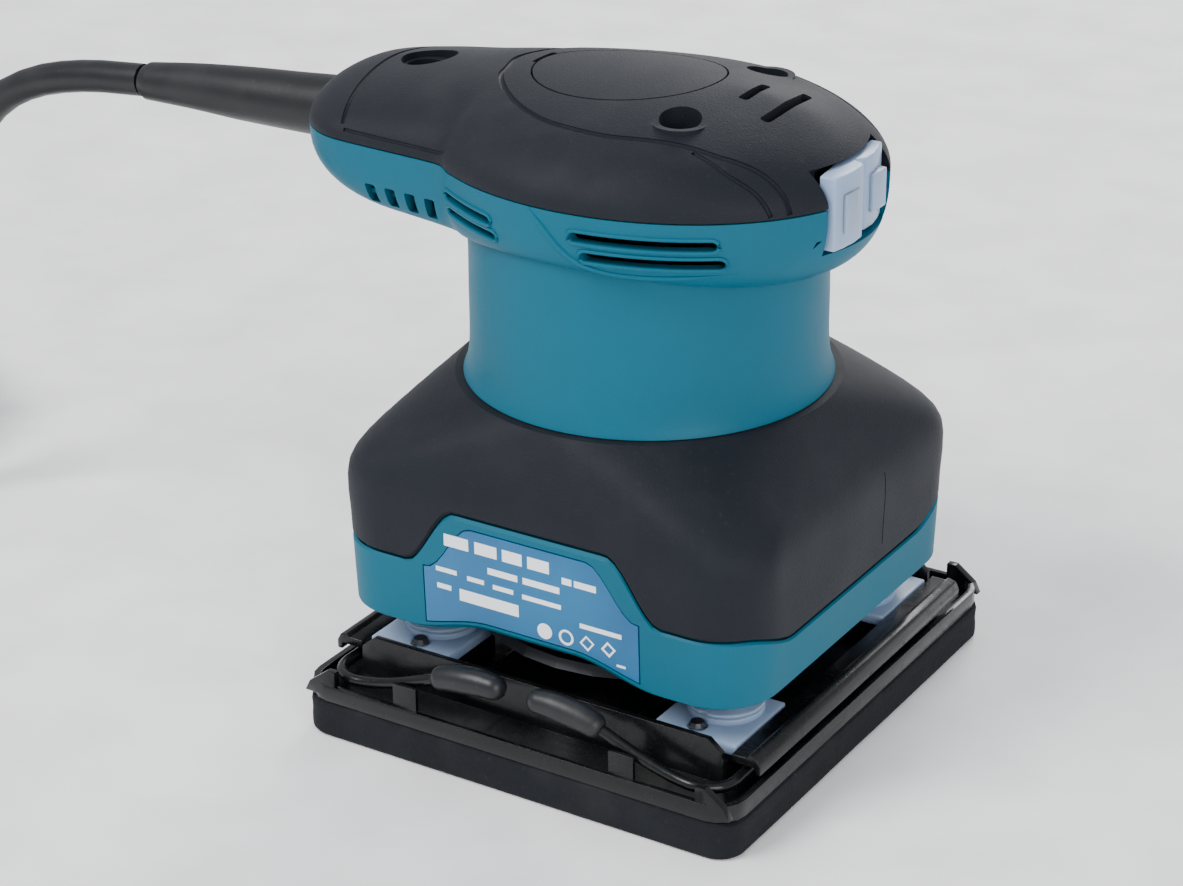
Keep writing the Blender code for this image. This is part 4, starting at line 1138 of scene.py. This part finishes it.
def make_swoosh(tree):
    """A fine moulded ridge on each cheek: down from the seam, then along the bowl's edge."""
    line = (
        (-0.0030, 0.1181), (0.0000, 0.1150), (0.0032, 0.1116), (0.0062, 0.1092), (0.0095, 0.1078),
        (0.0140, 0.1070), (0.0200, 0.1069), (0.0260, 0.1072), (0.0310, 0.1076), (0.0350, 0.1080),
    )
    ridges = []
    for side in (-1, 1):
        laid = [on_cheek(tree, x, side, z) for x, z in line]
        path = smooth_path([spot for spot in laid if spot], 0.0012)
        count = len(path)
        radii = []
        for i in range(count):
            radii.append(0.00055 * ease(i, -2, 5) * (1.0 - 0.9 * ease(i, count - 12, count)))
        ridges.append(tube(path, radii, 10))
    add_piece("cheek_ridges", merged(*ridges), "housing", "teal_plastic")


def make_switch():
    """The rocker's clear boot: two lobes with a raised window on each."""
    half = SWITCH_HALF - 0.0008
    outline = (
        (-half, 0.0474), (-half + 0.0030, 0.0480), (-0.0052, 0.0483), (-0.0018, 0.0481),
        (-0.0008, 0.0474), (0.0000, 0.0452), (0.0008, 0.0462), (0.0018, 0.0468), (0.0052, 0.0468),
        (half - 0.003, 0.0460), (half, 0.0450), (half, 0.0426), (0.0, 0.0426), (-half, 0.0440),
    )
    flat = [(x, y) for y, x in outline]
    shape = taken(object_of("boot", pushed(flat, SWITCH_LOW + 0.0008, SWITCH_HIGH - 0.0008)))
    sharp = [e for e in shape.edges if e.calc_face_angle(0.0) > math.radians(30)]
    soften(shape, sharp, 0.0004, 3)
    windows = []
    for y, front in ((-0.0064, 0.0486), (0.0064, 0.0476)):
        windows.append(block((0.0445, y - 0.0028, 0.1128), (front, y + 0.0028, 0.1206), 0.0004))
    add_piece("rocker_boot", merged(shape, *windows), "switch", "nylon", ("switch_rocker",))


# ---------------------------------------------------------------- base


def rounded_reach(angle, half_x, half_y, corner):
    """How far a rectangle with round corners reaches from its middle at an angle."""
    across, along = abs(math.cos(angle)), abs(math.sin(angle))
    if along * half_x <= across * (half_y - corner):
        return half_x / across
    if across * half_y <= along * (half_x - corner):
        return half_y / along
    middle = Vector((half_x - corner, half_y - corner))
    reach = middle.dot((across, along))
    return reach + math.sqrt(max(0.0, corner**2 - (middle.length_squared - reach**2)))


BASE_TURNS = round_turn(216)


def base_point(angle, height, inset=0.0):
    """A point on the base's skin, or a little inside it."""
    half_x, half_y, corner = between(BASE_SECTIONS, height)
    corner = max(corner - inset, 0.004)
    reach = rounded_reach(angle, half_x - inset, half_y - inset, corner)
    return Vector((reach * math.cos(angle), reach * math.sin(angle), height))


def seam_height(angle):
    """Where the teal skirt meets the boot: an arch over the label, a dip at the front."""
    point = base_point(angle, SEAM_SIDE)
    arch = ARCH_RISE * (1.0 - ease(abs(point.x), 0.0175, 0.0300))
    if abs(point.y) < 0.040:
        arch = 0.0
    front = 0.0
    if point.x > 0.040:
        front = (SEAM_SIDE - SEAM_FRONT) * (1.0 - ease(abs(point.y), 0.0260, 0.0420))
    return SEAM_SIDE + arch - front


def skirt_bottom(angle):
    """The skirt's lower edge, which rises under the label."""
    point = base_point(angle, BASE_BOTTOM)
    if abs(point.y) < 0.040:
        return BASE_BOTTOM
    return BASE_BOTTOM + 0.0036 * (1.0 - ease(abs(point.x), 0.0100, 0.0290))


def label_block(outer, inner, margin):
    """The label's field on the -Y side: a solid between two depths under the skin."""
    outline = []
    steps = 30
    for i in range(steps + 1):
        x = (-0.0250 - margin) + i * (0.0500 + 2 * margin) / steps
        outline.append((x, skirt_bottom(math.atan2(-0.0450, x)) + 0.0016 - margin))
    for i in range(steps, -1, -1):
        x = (-0.0250 - margin) + i * (0.0500 + 2 * margin) / steps
        top = SEAM_SIDE + 0.0108 * (1.0 - ease(abs(x), 0.0135, 0.0245)) + margin
        outline.append((x, top))
    shape = flat_face([(x, label_skin(z) + outer, z) for x, z in outline])
    draw_out(shape, (0.0, inner - outer, 0.0))
    bmesh.ops.triangulate(shape, faces=[f for f in shape.faces if len(f.verts) > 4])
    bmesh.ops.recalc_face_normals(shape, faces=shape.faces)
    return shape


def label_skin(height):
    return -between(BASE_SECTIONS, height)[1]


def make_skirt():
    """The teal skirt, with the hidden shoulder under the boot and the label's recess."""
    rows = []
    for share in (0.0, 0.03, 0.10, 0.25, 0.45, 0.65, 0.85, 0.97, 1.0):
        inset = 0.0005 if share in (0.0, 1.0) else 0.0
        row = []
        for angle in BASE_TURNS:
            low, high = skirt_bottom(angle), seam_height(angle)
            row.append(base_point(angle, low + (high - low) * share, inset))
        rows.append(row)
    skirt = object_of("skirt", ringed(rows))
    thicken(skirt, 0.0028)
    shoulder = []
    drops = ((0.0300, 0.0), (0.0450, 0.0), (0.0540, 0.0020), (0.0595, 0.0028), (0.0660, 0.0032),
             (0.0705, 0.0032))
    for height, drop in drops:
        lower = Vector((0.0, 0.0, drop))
        shoulder.append([base_point(a, height, 0.0026) - lower for a in BASE_TURNS])
    inner = object_of("inner", ringed(shoulder))
    thicken(inner, 0.0022)
    carve(skirt, taken(inner), "UNION")
    carve(skirt, neck_bore(0.0008))
    carve(skirt, label_block(-0.0050, 0.0007, GAP))
    hand_over(skirt, "teal_skirt", "housing", "teal_plastic", ("base_housing",), smooth=30.0)
    plate = label_block(0.0000, 0.0006, 0.0)
    add_piece("label_plate", plate, "housing", "label", ("rating_label",), smooth=50.0)
    make_label_marks()


def make_label_marks():
    """Plain bars, blocks and rings on the label, where a printed plate would have its text."""
    bars = (
        (-0.0168, 0.0474, 0.0058, 0.0026), (-0.0098, 0.0474, 0.0052, 0.0026),
        (-0.0036, 0.0474, 0.0046, 0.0026), (0.0025, 0.0474, 0.0050, 0.0026),
        (0.0090, 0.0455, 0.0022, 0.0014), (0.0132, 0.0455, 0.0050, 0.0014),
        (-0.0060, 0.0430, 0.0070, 0.0014), (0.0030, 0.0430, 0.0085, 0.0014),
        (-0.0195, 0.0404, 0.0050, 0.0010), (-0.0125, 0.0400, 0.0040, 0.0010),
        (-0.0060, 0.0397, 0.0048, 0.0010), (0.0030, 0.0394, 0.0090, 0.0010),
        (0.0165, 0.0366, 0.0095, 0.0010), (-0.0202, 0.0366, 0.0034, 0.0011),
        (-0.0095, 0.0358, 0.0140, 0.0026), (0.0210, 0.0300, 0.0020, 0.0005),
    )
    proud, sunk = 0.00006, 0.0001
    shapes = []
    for x, z, length, tall in bars:
        y = label_skin(z)
        low = (x - length / 2, y - proud, z - tall / 2)
        shapes.append(block(low, (x + length / 2, y + sunk, z + tall / 2)))
    rings = ((0.0035, 0.0, 24), (0.0085, 0.0012, 24), (0.0133, 0.0012, 4), (0.0182, 0.0011, 4))
    z = 0.0330
    y = label_skin(z)
    for x, inner, sides in rings:
        ring = rod(0.0017, (x, y + sunk, z), (x, y - proud, z), sides)
        if inner:
            hoop = object_of("hoop", ring)
            carve(hoop, rod(inner, (x, y + 0.001, z), (x, y - 0.001, z), sides))
            ring = taken(hoop)
        shapes.append(ring)
    add_piece("label_marks", merged(*shapes), "housing", "label", surface=WHITE_PRINT, smooth=20.0)


def make_boot():
    """The soft boot over the base's shoulders, with the parting line on its front."""
    heights = (0.0450, 0.0500, 0.0535, 0.0560, 0.0580, 0.0600, 0.0620, 0.0640, 0.0660, 0.0680,
               0.0700, 0.0714, BOOT_TOP)
    rows = []
    for k, inset in enumerate((0.0005, 0.0, 0.0)):
        row = []
        for angle in BASE_TURNS:
            start = seam_height(angle) + 0.0005 + 0.0006 * k
            row.append(base_point(angle, start, inset))
        rows.append(row)
    for height in heights:
        row = []
        for angle in BASE_TURNS:
            start = seam_height(angle) + 0.0017
            lift = (height - SEAM_SIDE) / (BOOT_TOP - SEAM_SIDE)
            z = max(height, start + (BOOT_TOP - start) * lift * 0.55)
            row.append(base_point(angle, min(z, BOOT_TOP)))
        rows.append(row)
    for reach in (0.0388, 0.0378, 0.0366):
        lip = [Vector((reach * math.cos(a), reach * math.sin(a), BOOT_TOP)) for a in BASE_TURNS]
        rows.append(lip)
    boot = object_of("boot", ringed(rows))
    thicken(boot, 0.0019)
    carve(boot, neck_bore(0.0006))
    carve(boot, block((0.0478, 0.0098, 0.0400), (0.0520, 0.0101, 0.0560)))
    hand_over(boot, "shoulder_boot", "housing", "soft_charcoal", ("base_boot",), smooth=30.0)


# ---------------------------------------------------------------- pad


def pad_outline(half_x, half_y, corner, steps=10):
    """The pad in plan: a rectangle with round corners."""
    outline = []
    for index, (sx, sy) in enumerate(((1, 1), (-1, 1), (-1, -1), (1, -1))):
        for i in range(steps + 1):
            turn = math.radians(90.0 * index + 90.0 * i / steps)
            x = sx * (half_x - corner) + corner * math.cos(turn)
            y = sy * (half_y - corner) + corner * math.sin(turn)
            outline.append((x + ORBIT, y))
    return outline


def make_foam():
    """The dense foam under the plate, its edges soft and a little uneven."""
    rows = []
    profile = (
        (0.0016, 0.0), (0.0006, 0.0002), (0.0001, 0.0008), (0.0, 0.0016), (0.0, 0.0030),
        (0.0001, 0.0044), (0.0001, 0.0058), (0.0, 0.0068), (0.0002, 0.0076), (0.0008, 0.0080),
    )
    for inset, height in profile:
        row = []
        corner = 0.0060 - min(inset, 0.003)
        outline = pad_outline(PAD_HALF_X - inset, PAD_HALF_Y - inset, corner)
        for x, y in filled_in(outline, 0.0040):
            wave = noise.noise(Vector((x * 60.0, y * 60.0, height * 160.0)))
            inwards = 1.0 - 0.0042 * max(0.0, wave) * (1.0 if height > 0.0003 else 0.0)
            row.append(Vector(((x - ORBIT) * inwards + ORBIT, y * inwards, height)))
        rows.append(row)
    foam = add_piece("backing_foam", ringed(rows, True, True), "pad", "foam", ("foam_pad",))


def make_plate():
    """The pad's plate with its rims, walls, seats and hooks, all its edges softened."""
    tray = rounded_copy("pad_plate", 0.00025)
    add_piece("pad_tray", tray, "pad", "black_plastic", ("pad_plate",))
    ribs = []
    for side in (-1, 1):
        low, high = sorted((side * 0.0150, side * 0.0442))
        for end in (-1, 1):
            x = ORBIT + end * 0.0180
            ribs.append(block((x - 0.0005, low, 0.0098), (x + 0.0005, high, 0.0136), 0.0002))
    add_piece("tray_ribs", merged(*ribs), "pad", "black_plastic")


def make_legs():
    """The milky legs: a square foot, a flanged root and a post."""
    for number, end, side in LEG_SPOTS:
        x, y = ORBIT + end * 0.0340, side * 0.0310
        post = y - side * 0.0025
        foot = block((x - 0.0094, y - 0.0100, 0.0145), (x + 0.0094, y + 0.0100, 0.0170), 0.0004)
        leg = object_of("leg", foot)
        # radius, top radius, low, high, sides, round-off: the root, its cone, the post, the flange
        for wide, top, low, high, sides, round_off in (
            (0.0078, None, 0.0160, 0.0182, 40, 0.0004),
            (0.0066, 0.0054, 0.0175, 0.0194, 40, 0.0),
            (0.0048, None, 0.0190, 0.0388, 32, 0.0),
            (0.0079, None, 0.0186, 0.0193, 40, 0.0002),
        ):
            part = rod(wide, (x, post, low), (x, post, high), sides, top, round_off)
            carve(leg, part, "UNION")
        screw = (x - end * 0.0010, y + side * 0.0070)
        carve(leg, rod(0.0021, (*screw, 0.0155), (*screw, 0.0200), 24))
        hand_over(leg, f"nylon_leg_{number}", "pad", "nylon", (f"leg_{number}",))


def make_levers():
    """The two bent wires with their dipped grips, and the clamp bars that they work."""
    bends = (
        (0.0000, 0.0410, 0.0126),
        (0.0000, 0.0200, 0.0126),
        (0.0000, -0.0200, 0.0126),
        (0.0000, -0.0420, 0.0126),
        (0.0000, -0.0462, 0.0126),
        (0.0008, -0.0488, 0.0126),
        (0.0028, -0.0508, 0.0127),
        (0.0055, -0.0520, 0.0129),
        (0.0085, -0.0520, 0.0131),
        (0.0130, -0.0520, 0.0141),
        (0.0190, -0.0520, 0.0160),
        (0.0262, -0.0520, 0.0188),
    )
    tip = ((0.0262, 0.0190), (0.0310, 0.0203), (0.0370, 0.0211), (0.0432, 0.0210))
    for name, end in (("front", 1), ("rear", -1)):
        hinge = ORBIT + end * 0.0460
        path = smooth_path([(hinge - end * x, y, z) for x, y, z in bends], 0.0011)
        lever = f"{name}_lever"
        wire = tube(path, 0.0012, 16, up=(0.03, 0.02, 1.0))
        add_piece(f"{name}_wire", wire, lever, "black_plastic", (lever,))
        line = smooth_path([(hinge - end * x, -0.0520, z) for x, z in tip], 0.0005)
        count = len(line) - 1
        radii = []
        for i in range(count + 1):
            bulge = 0.0027 - 0.00035 * math.cos(math.tau * i / count) * 0.5
            bulge *= math.sqrt(1.0 - (1.0 - min(1.0, i / 4)) ** 2 * 0.7)
            bulge *= math.sqrt(1.0 - (1.0 - min(1.0, (count - i) / 5)) ** 2 * 0.96)
            radii.append(max(0.0004, bulge))
        add_piece(
            f"{name}_grip", tube(line, radii, 24), lever, "black_plastic", (f"{lever}_grip",),
            surface=GRIP_RUBBER, smooth=60.0,
        )
        clamp = f"{name}_clamp"
        bar = rounded_copy(clamp, 0.00022)
        add_piece(f"{clamp}_bar", bar, clamp, "black_plastic", (clamp,))


# ---------------------------------------------------------------- the rest


def lay_floor():
    sheet = bmesh.new()
    bmesh.ops.create_grid(sheet, x_segments=2, y_segments=2, size=4.0)
    floor = object_of("floor", sheet)
    floor.data.materials.append(PALE_FLOOR)


def dress_cad_nodes():
    """Every CAD node that stays in view gets the finish of its own slot."""
    slots = {row["node"]: row["material_slot"] for row in frame["record"]["subparts"]}
    for name, node in frame["nodes"].items():
        for slot in node.material_slots:
            slot.material = FINISHES[slots[name]]


place_camera()
cord = make_cord()
plug_pieces = make_plug()
tie = make_tie()
light_room()
lay_floor()
dress_cad_nodes()
make_guard()
make_cover()
make_housing()
make_switch()
make_skirt()
make_boot()
make_foam()
make_plate()
make_legs()
make_levers()
